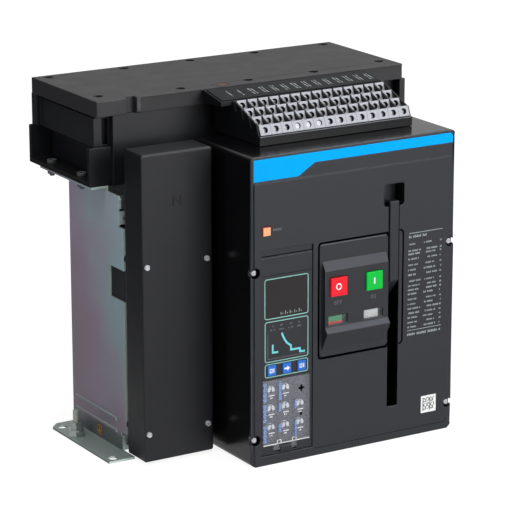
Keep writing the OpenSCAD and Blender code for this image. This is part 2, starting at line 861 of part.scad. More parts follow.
// Top cover screws: rear, inner front, front corners
cover_screw_x = cover_half - cover_screw_side;
cover_walls = [for (i = [1:pole_count - 1]) pole_x(i) - pole_pitch / 2];
cover_screw_places = concat(
  [for (x = concat(cover_walls, [-cover_screw_x, cover_screw_x])) [x, upper_rear - cover_screw_rear]],
  [for (x = cover_walls) [x, cover_screw_front - cover_front]],
  [for (x = [-cover_screw_x, cover_screw_x]) [x, cover_screw_corner - cover_front]]);
front_screw_vs = [front_screw_low, front_screw_low + front_screw_pitch];
front_screw_places = [for (u = [front_screw_in, front_w - front_screw_in]) for (v = front_screw_vs) [u, v]];
wing_screw_places = [for (u = [wing_left + wing_screw_left, wing_right - wing_screw_right])
  for (v = front_screw_vs) [u, v + wing_screw_up]];
pocket_screw_x = pocket_half - pocket_screw_in;
pocket_screw_places = [for (x = [-pocket_screw_x, pocket_screw_x])
  for (y = [pocket_screw_front, pocket_screw_front + pocket_screw_pitch]) [x, y]];

// Shared shapes

module span(lo, hi) {
  translate(lo) cube(hi - lo);
}

module rod_x(lo, hi, y, z, r) {
  translate([lo, y, z]) rotate([0, 90, 0]) cylinder(h = hi - lo, r = r);
}

module rod_y(x, lo, hi, z, r) {
  translate([x, lo, z]) rotate([-90, 0, 0]) cylinder(h = hi - lo, r = r);
}

module rod_z(x, y, lo, hi, r) {
  translate([x, y, lo]) cylinder(h = hi - lo, r = r);
}

module hex_z(x, y, lo, hi, across) {
  translate([x, y, lo]) cylinder(h = hi - lo, r = across / 2 / cos(30), $fn = 6);
}

// An outline in Y and Z, drawn out along X
module along_x(lo, hi) {
  translate([lo, 0, 0]) rotate([90, 0, 90]) linear_extrude(hi - lo) children();
}

// An outline in X and Z, drawn out along Y
module along_y(lo, hi) {
  translate([0, hi, 0]) rotate([90, 0, 0]) linear_extrude(hi - lo) children();
}

// Rectangle with low corners' radius and a smaller one above
module round_rect(lo, hi, low_r, top_r) {
  translate([lo.x + low_r, lo.y]) square([hi.x - lo.x - 2 * low_r, hi.y - lo.y]);
  translate([lo.x, lo.y + low_r]) square([low_r, hi.y - lo.y - low_r - top_r]);
  translate([hi.x - low_r, lo.y + low_r]) square([low_r, hi.y - lo.y - low_r - top_r]);
  if (low_r > top_r) {
    translate([lo.x + top_r, hi.y - top_r - past]) square([low_r - top_r + past, top_r + past]);
    translate([hi.x - low_r - past, hi.y - top_r - past]) square([low_r - top_r + past, top_r + past]);
  }
  for (x = [lo.x + low_r, hi.x - low_r]) translate([x, lo.y + low_r]) circle(r = low_r);
  for (x = [lo.x + top_r, hi.x - top_r]) translate([x, hi.y - top_r]) circle(r = top_r);
}

module at_front() {
  translate([front_left, front_y, front_z]) children();
}

module both_sides() {
  children();
  mirror([1, 0, 0]) children();
}

module at_poles() {
  for (i = [0:pole_count - 1]) translate([pole_x(i), 0, 0]) children();
}

module with_contacts_open() {
  translate([0, shaft_y, shaft_z]) rotate([open_angle, 0, 0]) translate([0, -shaft_y, -shaft_z]) children();
}

// A socket screw along Z, its head on the seat
module socket_screw(p, low_z, seat_z) {
  top_z = seat_z + screw_head_h;
  difference() {
    union() {
      rod_z(p.x, p.y, low_z, seat_z + past, screw_r);
      rod_z(p.x, p.y, seat_z, top_z, screw_head_r);
    }
    hex_z(p.x, p.y, seat_z + screw_head_h / 3, top_z + past, screw_head_r);
  }
}

// A slotted screw along Y, its head before the seat
module slot_screw(x, z, seat_y, end_y) {
  head_y = seat_y - long_head_h;
  half = long_head_r + past;
  difference() {
    union() {
      rod_y(x, seat_y - past, end_y, z, long_screw_r);
      rod_y(x, head_y, seat_y, z, long_head_r);
    }
    span([x - half, head_y - past, z - head_slot / 2], [x + half, head_y + head_slot, z + head_slot / 2]);
  }
}

module long_hole(x, z, lo, hi) {
  rod_y(x, lo, hi, z, long_screw_r + screw_gap);
}

// Case

module shaft_tunnel() {
  rod_x(-shaft_half - slide_gap, shaft_half + slide_gap, shaft_y, shaft_z, shaft_r + run_gap);
}

module tab_screw_holes(lo, hi) {
  for (z = tab_zs) long_hole(-tab_screw_x, (z[0] + z[1]) / 2, lo, hi);
}

module front_case() {
  color("#2b2c31")
  difference() {
    span([-case_half, -case_front, case_floor_z], [case_half, shaft_y, ledge_z]);
    at_poles() span([-chamber_w / 2, case_wall - case_front, chamber_floor_z],
      [chamber_w / 2, shaft_y + past, ledge_z - case_wall]);
    both_sides() {
      for (z = tab_zs)
        span([-case_half - past, -case_front - past, z[0]], [tab_in - case_half, tab_seat, z[1]]);
      tab_screw_holes(tab_seat - past, tab_seat + screw_bite);
    }
    shaft_tunnel();
    at_front() for (p = concat(front_screw_places, wing_screw_places))
      long_hole(p.x, p.y, mech_d - past, mech_d + screw_bite);
  }
}

module rear_case() {
  color("#26272b")
  difference() {
    span([-case_half, shaft_y, case_floor_z], [case_half, case_rear, ledge_z]);
    at_poles() {
      span([-chamber_w / 2, shaft_y - past, chamber_floor_z], [chamber_w / 2, chamber_rear, ledge_z + past]);
      for (z = [upper_bar_z, lower_bar_z])
        span([-bar_w / 2, chamber_rear - past, z], [bar_w / 2, case_rear + past, z + bar_t]);
    }
    shaft_tunnel();
  }
}

module upper_case() {
  neck_z = cover_z - neck_h;
  color("#26272b")
  difference() {
    union() {
      span([-main_half, -upper_front, ledge_z], [main_half, upper_rear, cover_z]);
      both_sides() {
        span([main_half - past, -corner_front, pocket_top_z], [upper_half, upper_rear, neck_z]);
        span([main_half - past, neck_step - corner_front, neck_z - past],
          [upper_half - neck_step, upper_rear, cover_z]);
        span([main_half - past, upper_rear - corner_post, pocket_top_z], [cover_half, upper_rear, cover_z]);
      }
      span([upper_half - past, -corner_front, pocket_top_z],
        [pocket_half, guard_web - corner_front, cover_z]);
      span([pocket_half - guard_w, -guard_front, pocket_top_z], [pocket_half, past - corner_front, cover_z]);
    }
    at_poles() {
      span([-chamber_w / 2, shaft_y, ledge_z - past], [chamber_w / 2, chamber_rear, well_floor_z + past]);
      span([-chamber_w / 2, -well_front, well_floor_z], [chamber_w / 2, well_rear, cover_z + past]);
    }
    both_sides() span([corner_slot_x, -corner_front - past, pocket_top_z + past],
      [corner_slot_x + corner_slot_w, corner_slot_d - corner_front, neck_z - past]);
    for (p = cover_screw_places)
      rod_z(p.x, p.y, cover_z - screw_in - past, cover_z + past, screw_r + screw_gap);
  }
}

module side_pockets() {
  color("#26272b")
  difference() {
    both_sides() {
      span([main_half, -pocket_front, ledge_z], [pocket_half, upper_rear, ledge_z + pocket_wall]);
      for (y = [-pocket_front, upper_rear - pocket_wall])
        span([main_half, y, ledge_z], [pocket_half, y + pocket_wall, pocket_top_z]);
    }
    for (p = pocket_screw_places)
      rod_z(p.x, p.y, ledge_z - past, ledge_z + pocket_wall + past, screw_r + screw_gap);
  }
}

module top_cover() {
  notch_x = notch_from - cover_half;
  notch_end = notch_x + notch_w;
  color("#55565b")
  difference() {
    span([-cover_half, -cover_front, cover_z], [cover_half, upper_rear, cover_top_z]);
    at_poles() span([-chamber_w / 2, -well_front, cover_z - past],
      [chamber_w / 2, well_rear, cover_top_z - cover_top]);
    span([notch_x, -cover_front - past, cover_z - past],
      [notch_end, notch_d - cover_front, cover_top_z + past]);
    span([notch_end + step_gap, -cover_front - past, cover_z - past],
      [cover_half + past, cover_step - cover_front, cover_top_z - step_top]);
    for (p = cover_screw_places) {
      rod_z(p.x, p.y, cover_z - past, cover_top_z + past, screw_r + screw_gap);
      rod_z(p.x, p.y, head_z, cover_top_z + past, screw_head_r + screw_gap);
    }
  }
}

module top_cover_screws() {
  color("#3a3b40") for (p = cover_screw_places) socket_screw(p, cover_z - screw_in, head_z);
}

// Side plates, feet and what fastens them

module plate_outline() {
  front = -case_front;
  polygon([
    [front + tab_d, 0], [plate_rear, 0], [plate_rear, ledge_z], [-pocket_front, ledge_z],
    [-pocket_front, plate_top_z], [front + plate_step + plate_corner, plate_top_z],
    [front + plate_step, plate_top_z - plate_corner], [front + plate_step, tab_high_z],
    [front + tab_d, tab_high_z], [front + tab_d, tab_low_z], [front, tab_low_z],
    [front, plate_notch_high_z], [front + plate_notch_d, plate_notch_high_z],
    [front + plate_notch_d, plate_notch_low_z], [front, plate_notch_low_z], [front, foot_tab_h],
    [front + tab_d, foot_tab_h]
  ]);
}

// Tab bent in over the case, with its strip
module bent_tab(low, high) {
  span([-plate_half, tab_y, low], [tab_in - slide_gap - case_half, tab_seat, high]);
  span([-plate_half, tab_y, low], [-case_half, tab_seat + past, high]);
}

module side_plate() {
  difference() {
    union() {
      along_x(-plate_half, -case_half) plate_outline();
      for (z = tab_zs) bent_tab(z[0] + tab_gap, z[1] - tab_gap);
      linear_extrude(plate_t) polygon([
        [-case_half, -foot_front], [-case_half, foot_rear], [foot_cut - foot_half, foot_rear],
        [-foot_half, foot_rear - foot_cut], [-foot_half, -foot_front]
      ]);
      span([-plate_half - flange_w, -pocket_front, ledge_z - plate_t], [-case_half, flange_rear, ledge_z]);
      for (z = [bead_z, bead_z + bead_pitch])
        rod_y(-plate_half, bead_front_in - case_front, plate_rear - bead_rear_in, z, bead_r);
    }
    for (side = [-1, 1])
      rod_z(-foot_x, side * foot_pitch / 2, -past, plate_t + past, foot_hole_r);
    for (p = pocket_screw_places)
      rod_z(p.x, p.y, ledge_z - plate_t - past, ledge_z + past, screw_r + screw_gap);
    tab_screw_holes(tab_y - past, tab_seat + past);
  }
}

module left_side_plate() {
  color("#8c8a96") side_plate();
}

module right_side_plate() {
  color("#8c8a96") mirror([1, 0, 0]) side_plate();
}

module plate_fasteners() {
  flange_z = ledge_z - plate_t;
  nut_z = flange_z - nut_h;
  color("#b9bac0") {
    for (p = pocket_screw_places) {
      socket_screw(p, nut_z - nut_thread, ledge_z + pocket_wall);
      difference() {
        hex_z(p.x, p.y, nut_z, flange_z, nut_af);
        rod_z(p.x, p.y, nut_z - past, flange_z + past, screw_r + screw_gap);
      }
    }
    both_sides() for (z = tab_zs)
      slot_screw(-tab_screw_x, (z[0] + z[1]) / 2, tab_y, tab_seat + screw_bite - past);
  }
}

module earth_stud() {
  color("#c8b890") rod_z(-foot_x, earth_y, plate_t, plate_t + earth_len, earth_r);
}

module earth_nuts() {
  washer_z = plate_t + earth_low_h;
  nut_z = washer_z + washer_t;
  top_z = nut_z + earth_nut_h;
  color("#c2c3c8")
  difference() {
    union() {
      hex_z(-foot_x, earth_y, plate_t, washer_z, earth_low_af);
      rod_z(-foot_x, earth_y, washer_z, nut_z, washer_r);
      hex_z(-foot_x, earth_y, nut_z, top_z, earth_nut_af);
    }
    rod_z(-foot_x, earth_y, plate_t - past, top_z + past, earth_r + screw_gap);
  }
}

// Covers on the front

module front_shell() {
  difference() {
    along_y(0, front_d) round_rect([0, -front_drop], [front_w, front_h], front_low_r, front_top_r);
    span([front_wall, front_wall, front_wall - front_drop],
      [front_w - front_wall, front_d + past, front_h - front_wall]);
  }
}

module front_cover_openings() {
  cut_end = front_wall + past;
  reset_half = reset_w / 2 + slide_gap;
  span([trip_u - slide_gap, -past, trip_v - slide_gap],
    [trip_right + slide_gap, cut_end, trip_top + slide_gap]);
  along_y(-past, cut_end)
    round_rect([op_u - slide_gap, op_v - slide_gap], [slot_u + op_r, op_high + slide_gap], op_r, op_r);
  span([slot_u, -past, slot_low_v], [slot_right, grip_d, grip_low_v + past]);
  span([reset_u - reset_half, -past, reset_v - reset_half],
    [reset_u + reset_half, cut_end, reset_v + reset_half]);
  span([slot_u - grip_side, -past, grip_low_v], [slot_right + grip_side, grip_d, grip_high_v]);
}

module trim_outline() {
  slope_u = panel_left + trim_tall_w;
  right = front_w - trim_right;
  polygon([
    [panel_left, trim_top_v - trim_h], [slope_u, trim_top_v - trim_h],
    [slope_u + trim_slope_w, trim_top_v - trim_slim_h], [right, trim_top_v - trim_slim_h],
    [right, trim_top_v - trim_right], [right - trim_right, trim_top_v], [panel_left, trim_top_v]
  ]);
}

module front_cover() {
  rim = grip_side + front_wall;
  color("#3c3e44") at_front()
  difference() {
    union() {
      front_shell();
      span([slot_u - rim, front_wall - past, grip_low_v - front_wall],
        [slot_right + rim, grip_d + front_wall, grip_high_v + front_wall]);
      for (p = front_screw_places) rod_y(p.x, front_wall, mech_d, p.y, boss_r);
    }
    front_cover_openings();
    difference() {
      span([-past, -past, -front_drop - past], [front_w + past, panel_proud, front_h + past]);
      along_y(-2 * past, panel_proud + past)
        round_rect([panel_left, -front_h], [front_w - panel_right, panel_top_v], past, past);
    }
    along_y(0, trim_rear) trim_outline();
    for (p = front_screw_places) {
      long_hole(p.x, p.y, -past, mech_d + past);
      rod_y(p.x, -past, front_notch_d, p.y, front_notch_r);
    }
  }
}

module trim_strip() {
  color("#0aa4f4") at_front() along_y(trim_rear - trim_t, trim_rear) trim_outline();
}

module neutral_cover() {
  color("#2c2d32") at_front()
  difference() {
    union() {
      difference() {
        span([wing_left, wing_back, 0], [wing_right, wing_rear, wing_h]);
        span([wing_left + front_wall, wing_back + front_wall, front_wall],
          [wing_right - front_wall, wing_rear + past, wing_h - front_wall]);
      }
      for (p = wing_screw_places) rod_y(p.x, wing_back + past, mech_d, p.y, boss_r);
    }
    for (p = wing_screw_places) long_hole(p.x, p.y, wing_back - past, mech_d + past);
  }
}

module cover_long_screws() {
  end_w = mech_d + screw_bite - past;
  color("#c9cace") at_front() {
    for (p = front_screw_places) slot_screw(p.x, p.y, front_notch_d, end_w);
    for (p = wing_screw_places) slot_screw(p.x, p.y, wing_back, end_w);
  }
}

// Operating panel

// Button housing in w and v, drawn in by a wall
module housing_outline(wall) {
  lip_w = wall - op_proud - op_ledge;
  face_w = wall - op_proud;
  polygon([
    [past, op_v + ledge_foot + wall], [lip_w, face_low_v - lip_drop], [lip_w, face_low_v - lip_drop + lip_h],
    [face_w, face_low_v], [face_w, face_high_v - wall], [past, face_high_v + top_slope - wall]
  ]);
}

module operating_panel() {
  half = button_w / 2 + slide_gap;
  window_half = window_w / 2;
  color("#33353a") at_front()
  difference() {
    union() {
      along_y(0, front_wall) round_rect([op_u, op_v], [slot_u, op_high], op_r, op_r);
      along_x(face_left, face_right) housing_outline(0);
    }
    along_x(face_left + op_wall, face_right - op_wall) housing_outline(op_wall);
    span([face_left + op_wall, 0, op_v + ledge_foot + op_wall + past],
      [face_right - op_wall, front_wall + past, face_high_v + op_wall]);
    for (u = [off_u, on_u]) {
      span([u - half, -op_proud - past, button_v - half], [u + half, 0, button_v + half]);
      span([u - window_half, -op_proud - op_ledge, window_v], [u + window_half, 0, window_v + window_h]);
    }
  }
}

module indicator_windows() {
  half = window_w / 2;
  color([0.8, 0.85, 0.88, 0.5]) at_front() for (u = [off_u, on_u])
    span([u - half, window_in - op_proud, window_v], [u + half, inner_face_w, window_v + window_h]);
}

module flag(u) {
  half = window_w / 2 + flag_side;
  front = inner_face_w + slide_gap;
  span([u - half, front, window_v - flag_travel - flag_side],
    [u + half, front + flag_t, window_v + window_h + flag_side]);
}

module contact_flag() {
  color("#1f9d55") at_front() flag(off_u);
}

module charge_flag() {
  color("#e8e8ea") at_front() flag(on_u);
}

module push_button(u) {
  half = button_w / 2;
  flange = half + button_flange;
  stem = stem_w / 2;
  seat_w = inner_face_w + slide_gap;
  span([u - half, -op_proud - button_proud, button_v - half], [u + half, seat_w + past, button_v + half]);
  span([u - flange, seat_w, button_v - flange], [u + flange, seat_w + flange_t, button_v + flange]);
  span([u - stem, seat_w + past, button_v - stem], [u + stem, stem_end, button_v + stem]);
}

module off_button() {
  color("#e8283a") at_front() push_button(off_u);
}

module on_button() {
  color("#00c853") at_front() push_button(on_u);
}

module reset_button() {
  half = reset_w / 2;
  flange = half + button_flange;
  seat_w = front_wall + slide_gap;
  color("#ffa060") at_front() {
    span([reset_u - half, -reset_proud, reset_v - half], [reset_u + half, seat_w + past, reset_v + half]);
    span([reset_u - flange, seat_w, reset_v - flange],
      [reset_u + flange, seat_w + flange_t, reset_v + flange]);
  }
}

// Charging handle and mechanism

module charging_handle() {
  left = slot_mid - handle_t / 2;
  right = slot_mid + handle_t / 2;
  front = -handle_proud;
  rear = handle_d - handle_proud;
  hub_top = [charge_w, charge_v] + hub_r * [cos(70), sin(70)];
  hub_low = [charge_w, charge_v] - hub_r * [cos(70), sin(70)];
  color("#303238") at_front()
  difference() {
    union() {
      along_x(left, right) polygon([
        [front, handle_top_v], [rear, handle_top_v], [rear, handle_top_v - handle_rear_h], hub_top, hub_low,
        [rear, handle_top_v - handle_grip_h - handle_chin], [front, handle_top_v - handle_grip_h]
      ]);
      rod_x(left, right, charge_w, charge_v, hub_r);
    }
    rod_x(left - past, right + past, charge_w, charge_v, charge_r + run_gap);
  }
}

module charging_shaft() {
  collar = slot_mid + handle_t / 2 + slide_gap;
  color("#9a9ca3") at_front() {
    rod_x(mech_left_u - mech_t - past, collar + collar_t + past, charge_w, charge_v, charge_r);
    rod_x(collar, collar + collar_t, charge_w, charge_v, charge_r + collar_t);
  }
}

// Teeth with one steep and one long flank
module ratchet_outline() {
  step = 360 / ratchet_teeth;
  steep = step / 10;
  polygon([for (i = [0:ratchet_teeth - 1]) for (k = [0, 1])
    (ratchet_r - k * tooth_h) * [cos(i * step + k * steep), sin(i * step + k * steep)]]);
}

module ratchet_wheel() {
  left = mech_right_u + mech_t + slide_gap;
  color("#85878e") at_front()
  difference() {
    along_x(left, left + ratchet_t) translate([charge_w, charge_v]) ratchet_outline();
    rod_x(left - past, left + ratchet_t + past, charge_w, charge_v, charge_r + run_gap);
  }
}

module closing_cam() {
  left = cam_u - cam_t / 2;
  right = cam_u + cam_t / 2;
  color("#85878e") at_front()
  difference() {
    union() {
      rod_x(left, right, charge_w, charge_v, charge_r + cam_wall);
      rod_x(left, right, charge_w, charge_v + charge_r, lobe_r);
    }
    rod_x(left - past, right + past, charge_w, charge_v, charge_r + run_gap);
  }
}

module mechanism_plate(left) {
  right = left + mech_t;
  difference() {
    along_x(left, right) polygon([
      [mech_front_w, mech_low_v], [mech_d, mech_low_v], [mech_d, mech_high_v],
      [mech_d - mech_top_d, mech_high_v], [mech_front_w, off_shaft_v + mech_corner]
    ]);
    rod_x(left - past, right + past, charge_w, charge_v, charge_r + run_gap);
    for (v = [off_shaft_v, on_shaft_v])
      rod_x(left - past, right + past, half_shaft_w, v, half_shaft_r + run_gap);
  }
}

module mechanism_foot(left, right) {
  span([left, mech_d - mech_t, mech_low_v + mech_foot_in], [right, mech_d, mech_high_v - mech_foot_in]);
}

module spring_shelf() {
  low_v = spring_low_v - shelf_t;
  difference() {
    span([mech_left_u - past, spring_w - spring_r - shelf_ahead, low_v],
      [mech_right_u, mech_d, spring_low_v]);
    for (u = spring_us) rod_z(u, spring_w, low_v - past, spring_low_v + past, guide_r + run_gap);
  }
}

module mechanism_plates() {
  left = mech_left_u - mech_t;
  right = mech_right_u + mech_t;
  color("#a7a9b0") at_front() {
    mechanism_plate(left);
    mechanism_foot(left - mech_foot_w, left + past);
    spring_shelf();
    mechanism_plate(mech_right_u);
    mechanism_foot(right - past, right + mech_foot_w);
  }
}

// One unbroken wire: rings of points along a helix
ring_points = 6;
turn_rings = 8;
spring_rings = turn_rings * spring_turns;
spring_rise = spring_len - spring_wire - 2 * seat_gap;
function coil_angle(k) = 360 * k / turn_rings;
function coil_middle(k) = [spring_r * cos(coil_angle(k)), spring_r * sin(coil_angle(k)),
  spring_wire / 2 + seat_gap + spring_rise * k / spring_rings];
function wire_point(k, a) = coil_middle(k) + spring_wire / 2 *
  [cos(a) * cos(coil_angle(k)), cos(a) * sin(coil_angle(k)), sin(a)];
spring_points = [for (k = [0:spring_rings]) for (s = [0:ring_points - 1])
  wire_point(k, 360 * s / ring_points)];
spring_sides = [for (k = [0:spring_rings - 1]) for (s = [0:ring_points - 1])
  let (a = ring_points * k + s, b = ring_points * k + (s + 1) % ring_points)
  each [[a, b, a + ring_points], [b, b + ring_points, a + ring_points]]];
spring_last = ring_points * spring_rings;
spring_ends = [for (s = [1:ring_points - 2]) each [[0, s + 1, s],
  [spring_last, spring_last + s, spring_last + s + 1]]];
function turn_distance(k) = norm(coil_middle(k) - coil_middle(k + turn_rings));
spring_self_gap = min([for (k = [0:turn_rings - 1]) turn_distance(k)]) - spring_wire;
echo(spring_self_gap = spring_self_gap);

module closing_springs() {
  color("#6d6f76") at_front() for (u = spring_us) translate([u, spring_w, spring_low_v])
    polyhedron(points = spring_points, faces = concat(spring_sides, spring_ends));
}

module spring_yoke() {
  color("#94969d") at_front() {
    span([mech_left_u + slide_gap, spring_w - yoke_d / 2, yoke_v],
      [mech_right_u - slide_gap, spring_w + yoke_d / 2, yoke_v + yoke_h]);
    for (u = spring_us) rod_z(u, spring_w, spring_low_v - shelf_t - guide_past, yoke_v + past, guide_r);
  }
}

// Shaft across both plates, lever behind a button's stem
module half_shaft(v, u, tip_v) {
  half = stem_w / 2;
  color("#b0b2b8") at_front() {
    rod_x(mech_left_u - mech_t - past, mech_right_u + mech_t, half_shaft_w, v, half_shaft_r);
    span([u - half, lever_w, min(v, tip_v)], [u + half, lever_w + lever_t, max(v, tip_v)]);
  }
}

module trip_half_shaft() {
  half_shaft(off_shaft_v, off_u, button_v - lever_over);
}

module close_half_shaft() {
  half_shaft(on_shaft_v, on_u, button_v + lever_over);
}

module motor_and_coils() {
  left = slot_right + drive_in;
  right = front_w - 2 * boss_r - drive_in;
  mid = (left + right) / 2;
  rear = mech_d - drive_t;
  front = mech_d - drive_d;
  motor_low = motor_v + 2 * drive_t;
  gear_v = motor_low + motor_len;
  frame_top = gear_v + gear_h + drive_t;
  coil_v = frame_top + coil_gap;
  color("#70727a") at_front() {
    span([left, rear, motor_v], [right, mech_d, frame_top]);
    rod_z(mid, rear - motor_r - drive_t, motor_low, gear_v + past, motor_r);
    span([left, front, gear_v], [right, mech_d - past, gear_v + gear_h]);
    for (v = [coil_v, coil_v + coil_h + coil_gap]) {
      top = v + coil_h;
      span([left, rear, v], [right, mech_d, top]);
      span([left, front, v], [right, front + drive_t, top]);
      span([left, front + past, top - drive_t], [right, mech_d - past, top]);
      rod_y(mid, front + past, mech_d - past, v + (coil_h - drive_t) / 2, coil_r);
    }
  }
}

// Trip unit

module trip_unit_case() {
  key_half = [key_w, key_h] / 2 + [slide_gap, slide_gap];
  color("#3a3c42") at_front()
  difference() {
    union() {
      difference() {
        span([trip_u, trip_back, trip_v], [trip_right, mech_d, trip_top]);
        span([clear_u - slide_gap, -past, clear_v - slide_gap],
          [clear_u + clear_w + slide_gap, field_w, clear_top + slide_gap]);
        span([lug_us[0] - lug_gap, -past, hinge_v - 2 * clear_t],
          [lugs_end + lug_gap, field_w, clear_v]);
      }
      span([lug_us[0] + lug_w + lug_gap, hinge_w - hinge_block, hinge_v - hinge_block],
        [lug_us[1] - lug_gap, field_w + past, hinge_v + hinge_block]);
    }
    along_y(-past, trip_back + display_t) round_rect(display_low, display_high, display_r, display_r);
    span([trip_u - past, -past, trip_top - trip_step_h],
      [trip_right + past, trip_back + trip_step_d, trip_top + past]);
    for (u = key_us) span([u - key_half.x, -past, key_v - key_half.y],
      [u + key_half.x, trip_back + key_d, key_v + key_half.y]);
    for (p = dial_places)
      rod_y(p.x, field_w - past, field_w + dial_stem + past, p.y, dial_stem_r + run_gap);
    rod_x(lug_us[0], lugs_end, hinge_w, hinge_v, hinge_r + run_gap);
  }
}

module display_window() {
  color([0.12, 0.1, 0.11]) at_front() along_y(trip_back, trip_back + display_t)
    round_rect(display_low, display_high, display_r, display_r);
}

module setting_cover() {
  color([0.75, 0.78, 0.82, 0.4]) at_front() {
    span([clear_u, 0, clear_v], [clear_u + clear_w, clear_t, clear_top]);
    for (u = lug_us) span([u, 0, hinge_v - hinge_w - lug_gap], [u + lug_w, clear_t, clear_v + past]);
    rod_x(lug_us[0] + past, lugs_end - past, hinge_w, hinge_v, hinge_r);
  }
}

module key_cap(i) {
  u = key_us[i];
  color("#2f74d0") at_front() span([u - key_w / 2, trip_back - key_proud, key_v - key_h / 2],
    [u + key_w / 2, trip_back + key_d - key_travel - slide_gap, key_v + key_h / 2]);
}

module key_left() key_cap(0);

module key_middle() key_cap(1);

module key_right() key_cap(2);

module dial(i) {
  p = dial_places[i];
  rear = field_w - dial_gap;
  front = rear - dial_h;
  half = dial_slot / 2;
  color("#f2f2f4") at_front()
  difference() {
    union() {
      rod_y(p.x, front, rear, p.y, dial_r);
      rod_y(p.x, rear - past, field_w + dial_stem, p.y, dial_stem_r);
    }
    span([p.x - half, front - past, p.y - dial_r / 3], [p.x + half, front + dial_slot, p.y + dial_r + past]);
  }
}

module dial_1() dial(0);

module dial_2() dial(1);

module dial_3() dial(2);

module dial_4() dial(3);

module dial_5() dial(4);

module dial_6() dial(5);

module dial_7() dial(6);

module dial_8() dial(7);

// Secondary terminals

function row_foot(k) = [row_w + k * row_back, row_v + k * row_up];
function row_head(k) = row_foot(k) + [face_lean, face_rise];

module block_outline() {
  polygon(concat(
    [[block_front_w, block_v], [block_front_w, row_v]],
    [for (k = [0:block_rows - 1]) each [row_foot(k), row_head(k)]],
    [[rows_end_w, rows_end_v], [block_rear_w, block_rear_v], [block_rear_w, block_v]]
  ));
}

// Ribs between columns fill the step to the next row
module row_rib(u, k) {
  along_x(u - rib_t / 2, u + rib_t / 2) polygon([
    row_head(k), row_head(k) - [0, past], row_foot(k + 1) + [past, -past],
    row_head(k + 1) + [past / 2, -past], row_head(k + 1)
  ]);
}

module terminal_block() {
  color("#1f2024") at_front()
  difference() {
    union() {
      along_x(block_u - block_end, block_right_u + block_end) block_outline();
      along_x(block_u - marker_left, block_u) polygon([
        [rows_end_w, rows_end_v - shelf_front_h], [rows_end_w, rows_end_v], [block_rear_w, block_rear_v],
        [block_rear_w, block_rear_v - shelf_rear_h]
      ]);
      for (c = [0:block_cols]) for (k = [0:block_rows - 2]) row_rib(block_u + c * block_pitch, k);
      for (u = [block_u + leg_in, block_right_u - leg_in - leg_w])
        span([u, mech_d + leg_gap, ledge_z - front_z], [u + leg_w, block_rear_w - leg_gap, block_v + past]);
    }
    at_clamps() rod_y(0, -past, sleeve_d, clamp_h / 2, clamp_hole_r + sleeve_t + clamp_gap);
  }
}

// Each clamp plate lies on the leaning face of its row
module at_clamps() {
  lean = atan2(face_lean, face_rise);
  for (k = [0:block_rows - 1]) for (c = [0:block_cols - 1]) let ($row = k, $col = c)
    translate([block_u + (c + 0.5) * block_pitch, row_foot(k).x, row_foot(k).y])
      rotate([-lean, 0, 0]) children();
}

// Front row: no ribs; sleeves line the holes
module terminal_clamps() {
  color("#c8c8d0") at_front() at_clamps() {
    half = (block_pitch - ($row > 0 ? rib_t : 0)) / 2 - clamp_gap;
    difference() {
      union() {
        span([-half, -clamp_t, 2 * clamp_gap], [half, 0, clamp_h - clamp_gap]);
        rod_y(0, -clamp_t / 2, sleeve_d - clamp_gap, clamp_h / 2, clamp_hole_r + sleeve_t);
      }
      rod_y(0, -clamp_t - past, sleeve_d + past, clamp_h / 2, clamp_hole_r);
    }
  }
}

module terminal_screws() {
  head_r = clamp_hole_r - clamp_screw_gap;
  low = (clamp_h - clamp_screw_h) / 2;
  color("#9fa0a8") at_front() at_clamps() {
    slack = $row == 0 && len(search($col, slack_cols)) > 0;
    top = sleeve_d - clamp_screw_h - (slack ? slack_rise : 0);
    difference() {
      rod_y(0, top, sleeve_d, clamp_h / 2, head_r);
      span([-head_r - past, top - past, low], [head_r + past, top + clamp_screw_h / 2, low + clamp_screw_h]);
    }
  }
}

module marker_strip() {
  run = [block_rear_w - rows_end_w, block_rear_v - rows_end_v];
  left = block_u - marker_left + marker_edge;
  color("#2a2c30") at_front() translate([left, rows_end_w, rows_end_v]) rotate([atan2(run.y, run.x), 0, 0])
    span([0, marker_edge, 0], [block_right_u - left, norm(run) - marker_edge, marker_t]);
}

// Main circuit

module bolt_holes(z) {
  for (side = [-1, 1])
    rod_z(side * bar_hole_pitch / 2, bar_rear - bar_hole_in, z - past, z + bar_t + past, bar_hole_r);
}

module upper_terminals() {
  half = bar_w / 2;
  front = fixed_y + contact_t;
  color("#b87f4a") at_poles() {
    difference() {
      span([-half, front, upper_bar_z], [half, bar_rear, upper_bar_z + bar_t]);
      bolt_holes(upper_bar_z);
    }
    span([-half, front, upper_bar_z + past], [half, front + upturn_t, upper_bar_z + upturn_h]);
  }
}

module fixed_contacts() {
  half = bar_w / 2 - contact_in;
  color("#c9c4b8") at_poles() span([-half, fixed_y, finger_top_z - tip_h],
    [half, fixed_y + contact_t, finger_top_z + contact_over]);
}

module lower_terminals() {
  color("#b87f4a") at_poles()
  difference() {
    span([-bar_w / 2, bar_front, lower_bar_z], [bar_w / 2, bar_rear, lower_bar_z + bar_t]);
    bolt_holes(lower_bar_z);
  }
}

module flexible_links() {
  half = bar_w / 2;
  foot_z = lower_bar_z + bar_t;
  riser = finger_y + link_t;
  color("#c98f5a") at_poles() {
    span([-half, bar_front, foot_z], [half, bar_front + link_foot, foot_z + link_t]);
    span([-half, riser, foot_z + past], [half, riser + link_t, finger_foot_z - link_gap]);
  }
}

module contact_shaft() {
  color("#9a9ca3") rod_x(-shaft_half, shaft_half, shaft_y, shaft_z, shaft_r);
}

module contact_carriers() {
  half = carrier_w / 2;
  color("#7a2f22") at_poles() with_contacts_open()
  difference() {
    union() {
      span([-half, shaft_y - carrier_front, shaft_z], [half, finger_y, shaft_z + carrier_h]);
      rod_x(-half, half, shaft_y, shaft_z, shaft_r + carrier_wall);
    }
    rod_x(-half - past, half + past, shaft_y, shaft_z, shaft_r + run_gap);
  }
}

